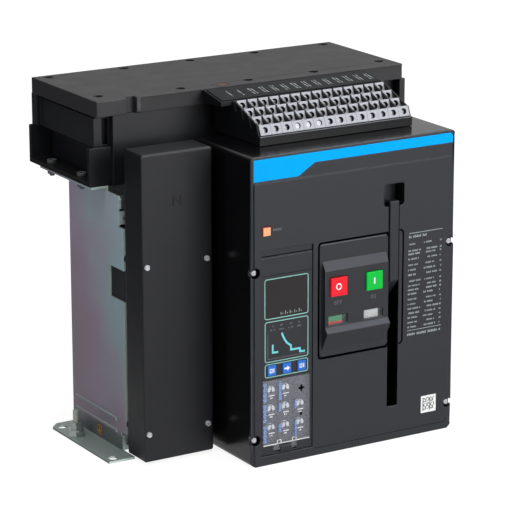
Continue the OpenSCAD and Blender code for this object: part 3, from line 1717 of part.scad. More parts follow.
module contact_fingers() {
  half = finger_w / 2;
  rear = finger_y + finger_t;
  color("#c07f48") at_poles() with_contacts_open() for (f = [0:finger_count - 1]) {
    x = (f - (finger_count - 1) / 2) * finger_pitch;
    span([x - half, finger_y, finger_foot_z], [x + half, rear, finger_top_z]);
    span([x - half, rear - past, finger_top_z - tip_h], [x + half, fixed_y - tip_gap, finger_top_z]);
  }
}

module arc_chute_walls() {
  half = chamber_w / 2 - chute_gap;
  color("#d8d2c0") at_poles() both_sides() span([half - chute_t, chute_gap - well_front, well_floor_z],
    [half, well_rear - chute_gap, cover_z - chute_gap]);
}

module arc_splitters() {
  half = chamber_w / 2 - chute_gap - chute_t;
  low = well_floor_z + chute_t;
  high = cover_z - chute_t;
  notch = splitter_notch_w;
  color("#8d8f96") at_poles() for (i = [0:splitter_count - 1])
    along_y(i * splitter_pitch, i * splitter_pitch + splitter_t) polygon([
      [-half, low], [-notch, low], [0, low + splitter_notch_h], [notch, low], [half, low],
      [half, high], [-half, high]
    ]);
}

module current_transformers() {
  half = chamber_w / 2 - ct_gap;
  bar_half = bar_w / 2 + ct_gap;
  low = lower_bar_z;
  high = lower_bar_z + bar_t;
  front = chamber_rear - ct_t;
  color("#1d3c6e") at_poles()
  difference() {
    span([-half, front, low - ct_ring], [half, chamber_rear, high + ct_ring]);
    span([-bar_half, front - past, low - ct_gap], [bar_half, chamber_rear + past, high + ct_gap]);
  }
}

front_case();
rear_case();
upper_case();
side_pockets();
top_cover();
top_cover_screws();
left_side_plate();
right_side_plate();
plate_fasteners();
earth_stud();
earth_nuts();
neutral_cover();
front_cover();
cover_long_screws();
trim_strip();
operating_panel();
indicator_windows();
contact_flag();
charge_flag();
off_button();
on_button();
reset_button();
charging_handle();
trip_unit_case();
display_window();
setting_cover();
key_left();
key_middle();
key_right();
dial_1();
dial_2();
dial_3();
dial_4();
dial_5();
dial_6();
dial_7();
dial_8();
terminal_block();
terminal_clamps();
terminal_screws();
marker_strip();
upper_terminals();
lower_terminals();
fixed_contacts();
flexible_links();
contact_shaft();
contact_carriers();
contact_fingers();
arc_chute_walls();
arc_splitters();
current_transformers();
mechanism_plates();
charging_shaft();
ratchet_wheel();
closing_cam();
closing_springs();
spring_yoke();
trip_half_shaft();
close_half_shaft();
motor_and_coils();
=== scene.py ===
"""Looks of a four-pole air circuit breaker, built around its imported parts.

Sizes of pieces are written in millimetres and turned into metres where a mesh is made.
The front frame has its origin at the front cover's left front edge, level with the case's floor:
u runs right, v runs up, and h stands out of the front plane towards the viewer.
"""
import math

import bmesh
import bpy
from mathutils import Matrix, Vector


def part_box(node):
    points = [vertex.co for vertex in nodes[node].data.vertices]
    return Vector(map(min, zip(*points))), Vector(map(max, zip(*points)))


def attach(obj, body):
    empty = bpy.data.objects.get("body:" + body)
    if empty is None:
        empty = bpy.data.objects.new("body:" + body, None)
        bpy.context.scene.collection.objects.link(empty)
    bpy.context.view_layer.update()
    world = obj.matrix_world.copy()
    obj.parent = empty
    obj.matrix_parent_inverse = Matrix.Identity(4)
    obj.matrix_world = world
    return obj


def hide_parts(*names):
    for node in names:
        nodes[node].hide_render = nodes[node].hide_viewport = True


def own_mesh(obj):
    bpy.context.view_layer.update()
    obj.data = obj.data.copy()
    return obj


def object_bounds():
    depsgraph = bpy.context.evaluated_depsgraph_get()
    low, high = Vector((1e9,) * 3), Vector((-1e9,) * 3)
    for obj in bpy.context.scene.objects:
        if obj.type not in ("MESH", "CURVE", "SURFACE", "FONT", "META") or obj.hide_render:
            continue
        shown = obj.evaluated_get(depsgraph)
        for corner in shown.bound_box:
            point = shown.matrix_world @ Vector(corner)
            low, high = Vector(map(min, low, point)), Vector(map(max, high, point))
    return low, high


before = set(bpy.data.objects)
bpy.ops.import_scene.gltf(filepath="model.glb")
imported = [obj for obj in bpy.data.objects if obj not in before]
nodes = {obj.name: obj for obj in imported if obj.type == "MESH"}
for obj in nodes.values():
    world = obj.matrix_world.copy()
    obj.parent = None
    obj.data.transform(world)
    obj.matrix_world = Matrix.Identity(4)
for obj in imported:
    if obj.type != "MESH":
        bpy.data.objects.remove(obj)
cad_low, cad_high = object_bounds()

MM = 0.001
BODY = "breaker"
UP = Vector((0, 0, 1))
LEFT = Vector((-1, 0, 0))
scene = bpy.context.scene


# Node helpers

def screen(code):
    """Linear colour of a hexadecimal screen colour."""
    levels = [int(code[i:i + 2], 16) / 255 for i in (0, 2, 4)]
    linear = [x / 12.92 if x <= 0.04045 else ((x + 0.055) / 1.055) ** 2.4 for x in levels]
    return (*linear, 1.0)


def fill(tree, node, inputs):
    """Gives a node's inputs their values, or links them to the given sockets."""
    for key, value in inputs.items():
        if isinstance(value, bpy.types.NodeSocket):
            tree.links.new(value, node.inputs[key])
        else:
            node.inputs[key].default_value = value
    return node


def add(tree, kind, inputs=None, **settings):
    """A new node with its settings and its inputs."""
    node = tree.nodes.new(kind)
    for name, value in settings.items():
        setattr(node, name, value)
    return fill(tree, node, inputs or {})


def sums(tree, operation, first, second=0.0):
    """Result of a sum on two numbers or sockets."""
    return add(tree, "ShaderNodeMath", {0: first, 1: second}, operation=operation).outputs[0]


def vector_sums(tree, operation, *given):
    """Result of a sum on vectors: a number for a dot product or a length, otherwise a vector."""
    node = add(tree, "ShaderNodeVectorMath", dict(enumerate(given)), operation=operation)
    return node.outputs["Value" if operation in ("DOT_PRODUCT", "LENGTH") else "Vector"]


def axes_of(tree, vector):
    """Sockets X, Y and Z of a vector."""
    return add(tree, "ShaderNodeSeparateXYZ", {"Vector": vector}).outputs


def spread(tree, value, from_low, from_high, to_low, to_high):
    """Value carried from one range to another and clamped there."""
    ends = {"Value": value, "From Min": from_low, "From Max": from_high, "To Min": to_low, "To Max": to_high}
    return add(tree, "ShaderNodeMapRange", ends).outputs["Result"]


def blend_colour(tree, factor, low, high):
    """Colour low where factor is 0 and high where it is 1."""
    return add(tree, "ShaderNodeMix", {0: factor, 6: low, 7: high}, data_type="RGBA").outputs[2]


def lighten(tree, colour, value):
    """Colour made lighter or darker by a factor."""
    return add(tree, "ShaderNodeHueSaturation", {"Color": colour, "Value": value}).outputs["Color"]


def noise(tree, where, scale, detail=2.0):
    """Cloudy value, with that many clouds to the metre."""
    return add(tree, "ShaderNodeTexNoise", {"Vector": where, "Scale": scale, "Detail": detail}).outputs["Fac"]


def part_place(tree):
    """Place on the piece in the part's own frame, in metres."""
    return add(tree, "ShaderNodeTexCoord").outputs["Object"]


def part_normal(tree):
    """Direction that the piece's surface faces in the part's own frame."""
    return add(tree, "ShaderNodeTexCoord").outputs["Normal"]


COLOUR = "NodeSocketColor"
NUMBER = "NodeSocketFloat"
VECTOR = "NodeSocketVector"
MESH = "NodeSocketGeometry"
GREY = (0.5, 0.5, 0.5, 1)


def start_group(name, inputs, outputs, kind="ShaderNodeTree"):
    """A node group with named sockets: its tree, its input sockets and its output node."""
    tree = bpy.data.node_groups.new(name, kind)
    for label, sort, value in inputs:
        socket = tree.interface.new_socket(label, in_out="INPUT", socket_type=sort)
        if value is not None:
            socket.default_value = value
    for label, sort in outputs:
        tree.interface.new_socket(label, in_out="OUTPUT", socket_type=sort)
    return tree, tree.nodes.new("NodeGroupInput").outputs, tree.nodes.new("NodeGroupOutput")


# Effects that several materials share

CLOUD_CORE = (0.3, 0.7)


def moulded_skin_group():
    """Moulded plastic: cloudy tone, spark-eroded grain and uneven gloss."""
    tree, given, out = start_group(
        "moulded_skin",
        [("Colour", COLOUR, GREY), ("Mottle", NUMBER, 0.08), ("Grain", NUMBER, 1500.0),
         ("Roughness", NUMBER, 0.45)],
        [("Colour", COLOUR), ("Roughness", NUMBER), ("Height", NUMBER)])
    where = part_place(tree)
    darker = sums(tree, "SUBTRACT", 1.0, given["Mottle"])
    lighter = sums(tree, "ADD", 1.0, given["Mottle"])
    tone = spread(tree, noise(tree, where, 12.0, 4.0), *CLOUD_CORE, darker, lighter)
    smear = spread(tree, noise(tree, where, 55.0, 3.0), *CLOUD_CORE, -0.03, 0.04)
    fill(tree, out, {
        "Colour": lighten(tree, given["Colour"], tone),
        "Roughness": sums(tree, "ADD", given["Roughness"], smear),
        "Height": noise(tree, where, given["Grain"])})
    return tree


def worn_highlight_group():
    """Mask of the strip along the edges, where handling wears and polishes the surface and a painted
    highlight pales it.
    """
    tree, given, out = start_group(
        "edge_wear_and_highlight", [("Reach", NUMBER, 0.0012), ("Amount", NUMBER, 1.0)],
        [("Mask", NUMBER), ("Normal", VECTOR)])
    rounded = add(tree, "ShaderNodeBevel", {"Radius": given["Reach"]}, samples=4).outputs["Normal"]
    flat = add(tree, "ShaderNodeNewGeometry").outputs["Normal"]
    strip = spread(tree, vector_sums(tree, "DOT_PRODUCT", rounded, flat), 0.995, 0.8, 0.0, 1.0)
    patchy = spread(tree, noise(tree, part_place(tree), 140.0, 3.0), 0.25, 0.6, 0.35, 1.0)
    worn_highlight_colour = sums(tree, "MULTIPLY", sums(tree, "MULTIPLY", strip, patchy), given["Amount"])
    fill(tree, out, {"Mask": worn_highlight_colour, "Normal": rounded})
    return tree


def brushed_metal_group():
    """Drawn or rolled metal: streaks along X, dull spots and fine height."""
    tree, given, out = start_group(
        "brushed_metal",
        [("Colour", COLOUR, GREY), ("Roughness", NUMBER, 0.3), ("Tarnish", NUMBER, 0.15)],
        [("Colour", COLOUR), ("Roughness", NUMBER), ("Height", NUMBER)])
    where = part_place(tree)
    drawn = add(tree, "ShaderNodeMapping", {"Vector": where, "Scale": (0.06, 1.0, 1.0)}).outputs["Vector"]
    streak = noise(tree, drawn, 1900.0, 3.0)
    dull = sums(tree, "SUBTRACT", 1.0, given["Tarnish"])
    tone = spread(tree, noise(tree, where, 160.0, 3.0), 0.35, 0.7, 1.0, dull)
    uneven = spread(tree, streak, *CLOUD_CORE, -0.06, 0.1)
    fill(tree, out, {
        "Colour": lighten(tree, given["Colour"], tone),
        "Roughness": sums(tree, "ADD", given["Roughness"], uneven),
        "Height": streak})
    return tree


def printed_ink_group():
    """Screen-printed ink: slightly uneven density."""
    tree, given, out = start_group(
        "printed_ink", [("Colour", COLOUR, GREY), ("Fade", NUMBER, 0.2)],
        [("Colour", COLOUR), ("Roughness", NUMBER)])
    where = part_place(tree)
    thin = sums(tree, "SUBTRACT", 1.0, given["Fade"])
    dense = spread(tree, noise(tree, where, 900.0), *CLOUD_CORE, thin, 1.0)
    fill(tree, out, {
        "Colour": lighten(tree, given["Colour"], dense),
        "Roughness": spread(tree, noise(tree, where, 300.0), *CLOUD_CORE, 0.4, 0.55)})
    return tree


def facing_group():
    """Masks of the faces turned to the front and of those turned up."""
    tree, given, out = start_group(
        "facing", [("Sharpness", NUMBER, 0.4)], [("Front", NUMBER), ("Up", NUMBER)])
    ways = axes_of(tree, part_normal(tree))
    ahead = sums(tree, "MULTIPLY", ways["Y"], -1.0)
    for mask, way in (("Front", ahead), ("Up", ways["Z"])):
        fill(tree, out, {mask: spread(tree, way, given["Sharpness"], 0.85, 0.0, 1.0)})
    return tree


SKIN = moulded_skin_group()
FACING = facing_group()
WORN_HIGHLIGHT = worn_highlight_group()
METAL = brushed_metal_group()
INK = printed_ink_group()


# Materials

finish = {}


def start_material(name):
    """A new finish: its tree and its Principled shader."""
    finish[name] = bpy.data.materials.new(name)
    finish[name].use_nodes = True
    tree = finish[name].node_tree
    return tree, tree.nodes["Principled BSDF"]


def place_group(tree, group, values):
    """A node group placed in a material with its own values: its outputs."""
    return add(tree, "ShaderNodeGroup", values, node_tree=group).outputs


def bump(tree, shader, height, strength, depth, rounded=None):
    """Fine relief that many millimetres deep, over rounded normals where they are given."""
    inputs = {"Height": height, "Strength": strength, "Distance": depth * MM}
    if rounded:
        inputs["Normal"] = rounded
    fill(tree, shader, {"Normal": add(tree, "ShaderNodeBump", inputs).outputs["Normal"]})


def moulding(name, code, roughness=0.45, mottle=0.05, grain=1500.0, relief=0.12, specular=0.5, worn_highlight=0.1,
             worn_highlight_colour="8a8f99", corner=0.9, walls=None, wall_roughness=None, painted_top_light=None):
    """Moulded plastic with grain, edges paled by wear and a painted highlight; painted shade and light by
    facing.
    """
    tree, shader = start_material(name)
    values = {"Colour": screen(code), "Mottle": mottle, "Grain": grain, "Roughness": roughness}
    skin = place_group(tree, SKIN, values)
    edge = place_group(tree, WORN_HIGHLIGHT, {"Reach": corner * MM, "Amount": worn_highlight})
    body = skin["Colour"]
    gloss = skin["Roughness"]
    # Painted shade: faces not turned to the front take the darker colour.
    if walls:
        front_mask = place_group(tree, FACING, {"Sharpness": 0.4})["Front"]
        body = blend_colour(tree, front_mask, screen(walls), body)
        if wall_roughness:
            gloss = spread(tree, front_mask, 0.0, 1.0, wall_roughness, gloss)
    # Painted light: upward faces take the paler colour.
    if painted_top_light:
        top_mask = place_group(tree, FACING, {"Sharpness": 0.3})["Up"]
        body = blend_colour(tree, top_mask, body, screen(painted_top_light))
    # Edge strip paled by wear and by a painted highlight.
    fill(tree, shader, {
        "Base Color": blend_colour(tree, edge["Mask"], body, screen(worn_highlight_colour)),
        "Roughness": gloss,
        "Specular IOR Level": specular})
    bump(tree, shader, skin["Height"], 0.35, relief, edge["Normal"])
    return tree, shader


def button_plastic(name, code, worn_highlight_colour, walls=None):
    """Smooth coloured plastic of the push buttons."""
    moulding(name, code, 0.35, mottle=0.03, grain=900.0, relief=0.05, specular=0.2, worn_highlight_colour=worn_highlight_colour,
             walls=walls)


def metal(name, code, roughness=0.3, tarnish=0.15, metallic=1.0):
    """Bare or plated metal; a matt plating has less of the metal's own gloss."""
    tree, shader = start_material(name)
    skin = place_group(tree, METAL, {"Colour": screen(code), "Roughness": roughness, "Tarnish": tarnish})
    fill(tree, shader, {"Base Color": skin["Colour"], "Roughness": skin["Roughness"], "Metallic": metallic})
    bump(tree, shader, skin["Height"], 0.25, 0.03)


def ink(name, code, fade=0.15, specular=0.25):
    """Print on a moulded face."""
    tree, shader = start_material(name)
    skin = place_group(tree, INK, {"Colour": screen(code), "Fade": fade})
    fill(tree, shader, {"Base Color": skin["Colour"], "Roughness": skin["Roughness"],
                        "Specular IOR Level": specular})


def clear_plastic(name, code, alpha, roughness=0.08):
    """See-through moulding, with faint flow marks in its gloss and body."""
    tree, shader = start_material(name)
    values = {"Colour": screen(code), "Mottle": 0.05, "Grain": 400.0, "Roughness": roughness}
    skin = place_group(tree, SKIN, values)
    fill(tree, shader, {"Base Color": skin["Colour"], "Roughness": skin["Roughness"], "Alpha": alpha})


BLOOM = ((0.30, "8c7c89"), (0.44, "918396"), (0.56, "8f919c"), (0.68, "88a2aa"), (0.82, "98b6b8"))


def zinc_plate():
    """Passivated zinc on sheet steel: purple and teal bloom, faint rolling lines, painted shade to the foot,
    painted light on upward and front faces.
    """
    tree, shader = start_material("zinc_plate")
    where = part_place(tree)
    axes = axes_of(tree, where)
    drift = noise(tree, where, 9.0, 3.0)
    forward = spread(tree, axes["Y"], 0.045, -0.045, 0.0, 1.0)
    upward = spread(tree, axes["Z"], 0.02, 0.24, 0.0, 1.0)
    level = sums(tree, "ADD", sums(tree, "MULTIPLY", drift, 0.7), sums(tree, "MULTIPLY", forward, 0.22))
    level = sums(tree, "ADD", level, sums(tree, "MULTIPLY", upward, 0.16))
    bloom = add(tree, "ShaderNodeValToRGB", {"Fac": level})
    ramp = bloom.color_ramp.elements
    while len(ramp) < len(BLOOM):
        ramp.new(0.5)
    for element, (place, code) in zip(ramp, BLOOM):
        element.position = place
        element.color = screen(code)
    # Painted shade and light by height: darker low down, paler high up.
    painted_shading_by_height = spread(tree, axes["Z"], 0.0, 0.22, 0.68, 1.38)
    toned = lighten(tree, bloom.outputs["Color"], painted_shading_by_height)
    # Painted shade: below the foot's level the plate turns dark grey.
    above_painted_foot_shade = spread(tree, axes["Z"], 0.014, 0.018, 0.0, 1.0)
    toned = blend_colour(tree, above_painted_foot_shade, screen("5f6466"), toned)
    # Painted light: upward faces such as the foot's flange are paler.
    faces = place_group(tree, FACING, {"Sharpness": 0.3})
    toned = blend_colour(tree, faces["Up"], toned, screen("95a29e"))
    # Painted light: front faces and edges take a pale teal.
    edge = place_group(tree, WORN_HIGHLIGHT, {"Reach": 0.8 * MM, "Amount": 0.7})["Mask"]
    painted_edge_light = sums(tree, "MAXIMUM", faces["Front"], edge)
    rolled = place_group(tree, METAL, {"Roughness": 0.42, "Tarnish": 0.1})
    fill(tree, shader, {
        "Base Color": blend_colour(tree, painted_edge_light, toned, screen("d2e2dc")),
        "Roughness": rolled["Roughness"],
        "Metallic": 0.3})
    bump(tree, shader, rolled["Height"], 0.2, 0.02)


def clamp_plate(name, code, face):
    """Grey clamp: pale on the face that its screw stands in, with painted shade down the sleeve's inner
    sides.
    """
    tree, shader = moulding(name, code, 0.5, mottle=0.06, specular=0.3, worn_highlight_colour="eceef4")
    pale = shader.inputs["Base Color"].links[0].from_socket
    # Painted shade: faces turned away from the clamp's face are near black.
    facing = vector_sums(tree, "DOT_PRODUCT", part_normal(tree), face)
    mask = spread(tree, facing, 0.4, 0.9, 0.0, 1.0)
    fill(tree, shader, {"Base Color": blend_colour(tree, mask, screen("1a1b20"), pale)})


def banded_flag(name, code, strip_code, corner):
    """Indicator flag: one colour, another below the corner's level, black painted shade to the right of the
    corner.
    """
    tree, shader = start_material(name)
    axes = axes_of(tree, part_place(tree))
    low = sums(tree, "LESS_THAN", axes["Z"], corner.z)
    # Painted shade: to the right of the corner the flag is black.
    in_painted_shade = sums(tree, "GREATER_THAN", axes["X"], corner.x)
    printed = place_group(tree, INK, {"Colour": screen(code), "Fade": 0.25})
    colour = blend_colour(tree, low, printed["Colour"], screen(strip_code))
    fill(tree, shader, {
        "Base Color": blend_colour(tree, in_painted_shade, colour, screen("050506")),
        "Roughness": printed["Roughness"]})


# Places in the front frame, whose origin lies above the front cover's foot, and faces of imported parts

FRONT_DROP = 2.6
front_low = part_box("front_cover")[0]
front_low.z += FRONT_DROP * MM


def front_point(u, v, h):
    """Part-frame place of a point in the front frame."""
    return Vector((front_low.x + u * MM, front_low.y - h * MM, front_low.z + v * MM))


def front_box(name):
    """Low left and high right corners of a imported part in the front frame."""
    corners = [corner - front_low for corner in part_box(name)]
    return [(round(corner.x / MM, 2), round(corner.z / MM, 2)) for corner in corners]


def front_middle(name):
    """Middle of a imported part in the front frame."""
    low, high = front_box(name)
    return (low[0] + high[0]) / 2, (low[1] + high[1]) / 2


def largest_face(name, way, least):
    """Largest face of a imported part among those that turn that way."""
    turned = (face for face in nodes[name].data.polygons if face.normal.dot(way) > least)
    return max(turned, key=lambda face: face.area)


CLAMP_NORMAL = largest_face("terminal_clamps", UP, 0.3).normal
LEFT_FLAG_CORNER = front_point(92.4, 120.2, 0.0)
RIGHT_FLAG_CORNER = front_point(130.2, 0.0, 0.0)

moulding("case_moulding", "1a1b1f", 0.42, relief=0.1)
# Painted shade: the pockets' faces not turned to the front are near black.
moulding("pocket_moulding", "1a1b1f", 0.42, relief=0.1, walls="09090b")
# Lighter than the case's plastic: painted light from above on the same black plastic.
moulding("cover_moulding", "272629", 0.52, mottle=0.02, relief=0.15)
# Painted shade: faces not turned to the front, such as the top before the terminal block and the left side,
# are near black.
moulding("front_moulding", "1c1f27", 0.46, mottle=0.03, corner=1.8, walls="08080a",
         wall_roughness=0.2)
# Darker than the front cover's plastic: painted shade on the same plastic.
moulding("neutral_moulding", "14151a", 0.42, mottle=0.04, specular=0.42, corner=1.8)
# Painted light: upward faces of the panel and the trip unit case are paler.
moulding("panel_moulding", "1c1e24", 0.42, mottle=0.03, painted_top_light="50545c")
moulding("handle_moulding", "1e2026", 0.4, mottle=0.03)
moulding("block_black", "0f1013", 0.4, specular=0.3, worn_highlight=0.02)
# Painted shade: near-black sheet behind the handle slot.
moulding("slot_shade_sheet", "060607", 0.7, specular=0.05, worn_highlight=0.0)
# Painted highlight along the terminal block's front edge.
moulding("block_edge_highlight", "8d9098", 0.35, mottle=0.1)
moulding("carrier_moulding", "5a3a2c", 0.5)
moulding("arc_fibre", "a08c6c", 0.7, mottle=0.15)
moulding("transformer_blue", "1e3350", 0.45)
button_plastic("button_red", "f01e2e", "ff7a7a")
button_plastic("button_green", "00c040", "6ee890")
# Painted shade: the button's side faces are a deeper orange.
button_plastic("button_orange", "fbb286", "ffc090", walls="e0582c")
moulding("key_blue", "2a70d0", 0.35, mottle=0.04, relief=0.05, specular=0.25, worn_highlight_colour="7fb0f0")
moulding("dial_white", "eef1f6", 0.4, mottle=0.04, relief=0.05, specular=0.3, worn_highlight_colour="ffffff")
moulding("trim_blue", "00a8ff", 0.3, mottle=0.03, grain=700.0, relief=0.04, specular=0.05,
         worn_highlight_colour="6fcaff")
moulding("marker_dark", "101114", 0.5, specular=0.2)
clamp_plate("clamp_grey", "b4b6be", CLAMP_NORMAL)
moulding("display_dark", "211d1f", 0.12, mottle=0.12, grain=300.0, relief=0.0, worn_highlight=0.05)
clear_plastic("window_clear", "c8d4d8", 0.05)
clear_plastic("clear_cover", "c8ccd6", 0.14, roughness=0.16)
zinc_plate()
metal("plated_screws", "cfd1d4", 0.34, metallic=0.4)
metal("plated_nuts", "b4bcb8", 0.24, metallic=0.85)
metal("plated_bolts", "7c7f80", 0.34, metallic=0.6)
metal("dark_screws", "17181a", 0.5)
metal("stud_metal", "b4bab2", 0.34, metallic=0.5)
metal("clamp_screws", "e2e3e6", 0.4, metallic=0.3)
metal("copper_bar", "c98a5e", 0.33, tarnish=0.25)
metal("contact_silver", "c9c6bd", 0.3)
metal("shaft_steel", "9a9b9e", 0.34)
banded_flag("flag_green", "2f8f57", "d0302c", LEFT_FLAG_CORNER)
banded_flag("flag_white", "d5d8d8", "d5d8d8", RIGHT_FLAG_CORNER)
ink("white_ink", "f4f4f4", 0.05)
ink("pale_ink", "a9b3b1", 0.3)
ink("dim_ink", "6c6f76", 0.25)
ink("faint_ink", "33363c", 0.3)
moulding("rim_light", "6d7178", 0.4, mottle=0.12)
ink("teal_ink", "8fc8c0", 0.12)
ink("cyan_ink", "74cfd9", 0.05)
ink("blue_ink", "86a6e4", 0.2)
ink("shadow_gap", "020203", 0.1, 0.0)
ink("brown_ink", "6a4226", 0.2)
ink("gold_ink", "c8b47c", 0.2)
ink("sticker_paper", "eef0ee", 0.04)
moulding("setting_field", "45464b", 0.5, mottle=0.1, specular=0.2)
ink("dial_ink", "2c2d33", 0.2)
# Painted shade: the motor is near black, standing in for the shade inside the case.
metal("motor_painted_shade", "141517", 0.6, metallic=0.1)


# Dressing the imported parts

MODIFIER_TREE = "GeometryNodeTree"
SHARP_ANGLE = math.radians(26.0)
BEVEL_ANGLE = math.radians(40.0)
FLAT_ANGLE = math.radians(0.5)
WELD_GAP = 0.01 * MM
ON_SIDE = 0.05 * MM


def shading_group():
    """Modifier group that drops stored normals and keeps only edges over the angle sharp."""
    tree, given, out = start_group(
        "shade_by_angle", [("Geometry", MESH, None)], [("Geometry", MESH)], MODIFIER_TREE)
    turn = add(tree, "GeometryNodeInputMeshEdgeAngle").outputs["Unsigned Angle"]
    sharp = add(tree, "FunctionNodeCompare", {0: turn, 1: SHARP_ANGLE}, operation="GREATER_THAN").outputs[0]
    inputs = {"Remove Custom": True, "Edge Sharpness": sharp, "Mesh": given["Geometry"]}
    normal = add(tree, "GeometryNodeSetMeshNormal", inputs, mode="SHARPNESS")
    fill(tree, out, {"Geometry": normal.outputs["Mesh"]})
    return tree


def outer_edges_group():
    """Modifier group that marks the edges where two sides of a given box meet, for rounding."""
    tree, given, out = start_group(
        "outer_edges", [("Geometry", MESH, None), ("Low", VECTOR, None), ("High", VECTOR, None)],
        [("Geometry", MESH)], MODIFIER_TREE)
    ends = add(tree, "GeometryNodeInputMeshEdgeVertices").outputs

    def off_side(side):
        """How far an edge lies off the box's sides, axis by axis."""
        reaches = []
        for end in ("Position 1", "Position 2"):
            reaches.append(vector_sums(tree, "ABSOLUTE", vector_sums(tree, "SUBTRACT", ends[end], side)))
        return vector_sums(tree, "MAXIMUM", *reaches)

    nearest = axes_of(tree, vector_sums(tree, "MINIMUM", off_side(given["Low"]), off_side(given["High"])))
    on = [sums(tree, "LESS_THAN", nearest[axis], ON_SIDE) for axis in "XYZ"]
    count = sums(tree, "ADD", sums(tree, "ADD", on[0], on[1]), on[2])
    mark = sums(tree, "GREATER_THAN", count, 1.5)
    inputs = {"Geometry": given["Geometry"], "Name": "bevel_weight_edge", "Value": mark}
    store = add(tree, "GeometryNodeStoreNamedAttribute", inputs, data_type="FLOAT", domain="EDGE")
    fill(tree, out, {"Geometry": store.outputs["Geometry"]})
    return tree


SHADE = shading_group()
OUTER = outer_edges_group()


def modify(piece, name, kind, **settings):
    """A new modifier on a piece, with its settings."""
    step = piece.modifiers.new(name, kind)
    for key, value in settings.items():
        setattr(step, key, value)
    return step


def shade(piece):
    """Smooth shading that breaks at sharp edges."""
    modify(piece, "shade", "NODES", node_group=SHADE)


def round_edges(piece, width, segments, **limit):
    """Bevel that many millimetres wide on the edges within the limit."""
    modify(piece, "edges", "BEVEL", width=width * MM, segments=segments, use_clamp_overlap=False,
           harden_normals=True, **limit)


def round_outer(name, radius, low_in=(0, 0, 0)):
    """Rounds the outer edges of a packed shell; its box is drawn in where a rim steps back."""
    part = nodes[name]
    low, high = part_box(name)
    modify(part, "weld", "WELD", merge_threshold=WELD_GAP)
    marks = modify(part, "outer", "NODES", node_group=OUTER)
    sockets = {item.name: item.identifier for item in OUTER.interface.items_tree if item.in_out == "INPUT"}
    marks[sockets["Low"]] = tuple(low + Vector(low_in) * MM)
    marks[sockets["High"]] = tuple(high)
    shade(part)
    round_edges(part, radius, 5, limit_method="WEIGHT")


def dress(name, look, edge):
    """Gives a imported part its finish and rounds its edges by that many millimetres."""
    part = nodes[name]
    part.data.materials.clear()
    part.data.materials.append(finish[look])
    if edge == 0.0:
        return
    modify(part, "weld", "WELD", merge_threshold=WELD_GAP)
    modify(part, "flat", "DECIMATE", decimate_type="DISSOLVE", angle_limit=FLAT_ANGLE)
    shade(part)
    round_edges(part, edge, 3, limit_method="ANGLE", angle_limit=BEVEL_ANGLE)


LOOKS = (
    ("case_moulding", 0.0, "front_case rear_case upper_case"),
    ("pocket_moulding", 0.0, "side_pockets"),
    ("cover_moulding", 0.0, "top_cover"),
    ("front_moulding", 0.0, "front_cover"),
    ("neutral_moulding", 0.0, "neutral_cover"),
    ("panel_moulding", 0.6, "operating_panel"),
    ("panel_moulding", 0.0, "trip_unit_case"),
    ("handle_moulding", 0.7, "charging_handle"),
    ("block_black", 0.0, "terminal_block"),
    ("marker_dark", 0.15, "marker_strip"),
    ("clamp_grey", 0.0, "terminal_clamps"),
    ("clamp_screws", 0.0, "terminal_screws"),
    ("zinc_plate", 0.0, "left_side_plate right_side_plate"),
    ("plated_screws", 0.2, "cover_long_screws"),
    ("plated_bolts", 0.2, "plate_fasteners"),
    ("plated_nuts", 0.0, "earth_nuts"),
    ("stud_metal", 0.3, "earth_stud"),
    ("dark_screws", 0.2, "top_cover_screws"),
    ("trim_blue", 0.25, "trim_strip"),
    ("window_clear", 0.0, "indicator_windows"),
    ("clear_cover", 0.2, "setting_cover"),
    ("display_dark", 0.25, "display_window"),
    ("flag_green", 0.1, "contact_flag"),
    ("flag_white", 0.1, "charge_flag"),
    ("button_red", 0.7, "off_button"),
    ("button_green", 0.7, "on_button"),
    ("button_orange", 0.4, "reset_button"),
    ("key_blue", 0.4, "key_left key_middle key_right"),
    ("dial_white", 0.2, "dial_1 dial_2 dial_3 dial_4 dial_5 dial_6 dial_7 dial_8"),
    ("copper_bar", 0.5, "upper_terminals lower_terminals"),
    ("copper_bar", 0.0, "flexible_links"),
    ("contact_silver", 0.2, "fixed_contacts contact_fingers"),
    ("carrier_moulding", 0.3, "contact_carriers"),
    ("arc_fibre", 0.2, "arc_chute_walls"),
    ("transformer_blue", 0.4, "current_transformers"),
    ("shaft_steel", 0.0, "arc_splitters closing_springs"),
    ("shaft_steel", 0.2, "contact_shaft charging_shaft trip_half_shaft close_half_shaft"),
    ("shaft_steel", 0.2, "mechanism_plates ratchet_wheel closing_cam spring_yoke"),
    ("motor_painted_shade", 0.4, "motor_and_coils"),
)
for look, edge, names in LOOKS:
    for part_name in names.split():
        dress(part_name, look, edge)
round_outer("neutral_cover", 2.0)
round_outer("top_cover", 1.2)
round_outer("front_cover", 1.3, low_in=(0, 1.2, 0))
round_outer("side_pockets", 0.8)


# Outlines and reliefs for pieces made in mesh code

def box_loop(low, high):
    """Corners of a rectangle."""
    return [low, (high[0], low[1]), high, (low[0], high[1])]


def oval_loop(centre, half, steps=32):
    """Points round an oval."""
    turns = [2 * math.pi * i / steps for i in range(steps)]
    return [(centre[0] + half[0] * math.cos(t), centre[1] + half[1] * math.sin(t)) for t in turns]


def round_loop(low, high, radius, steps=6):
    """Rectangle with rounded corners."""
    corners = ((high[0] - radius, high[1] - radius), (low[0] + radius, high[1] - radius),
               (low[0] + radius, low[1] + radius), (high[0] - radius, low[1] + radius))
    loop = []
    for quarter, (a, b) in enumerate(corners):
        for i in range(steps + 1):
            turn = math.pi / 2 * (quarter + i / steps)
            loop.append((a + radius * math.cos(turn), b + radius * math.sin(turn)))
    return loop


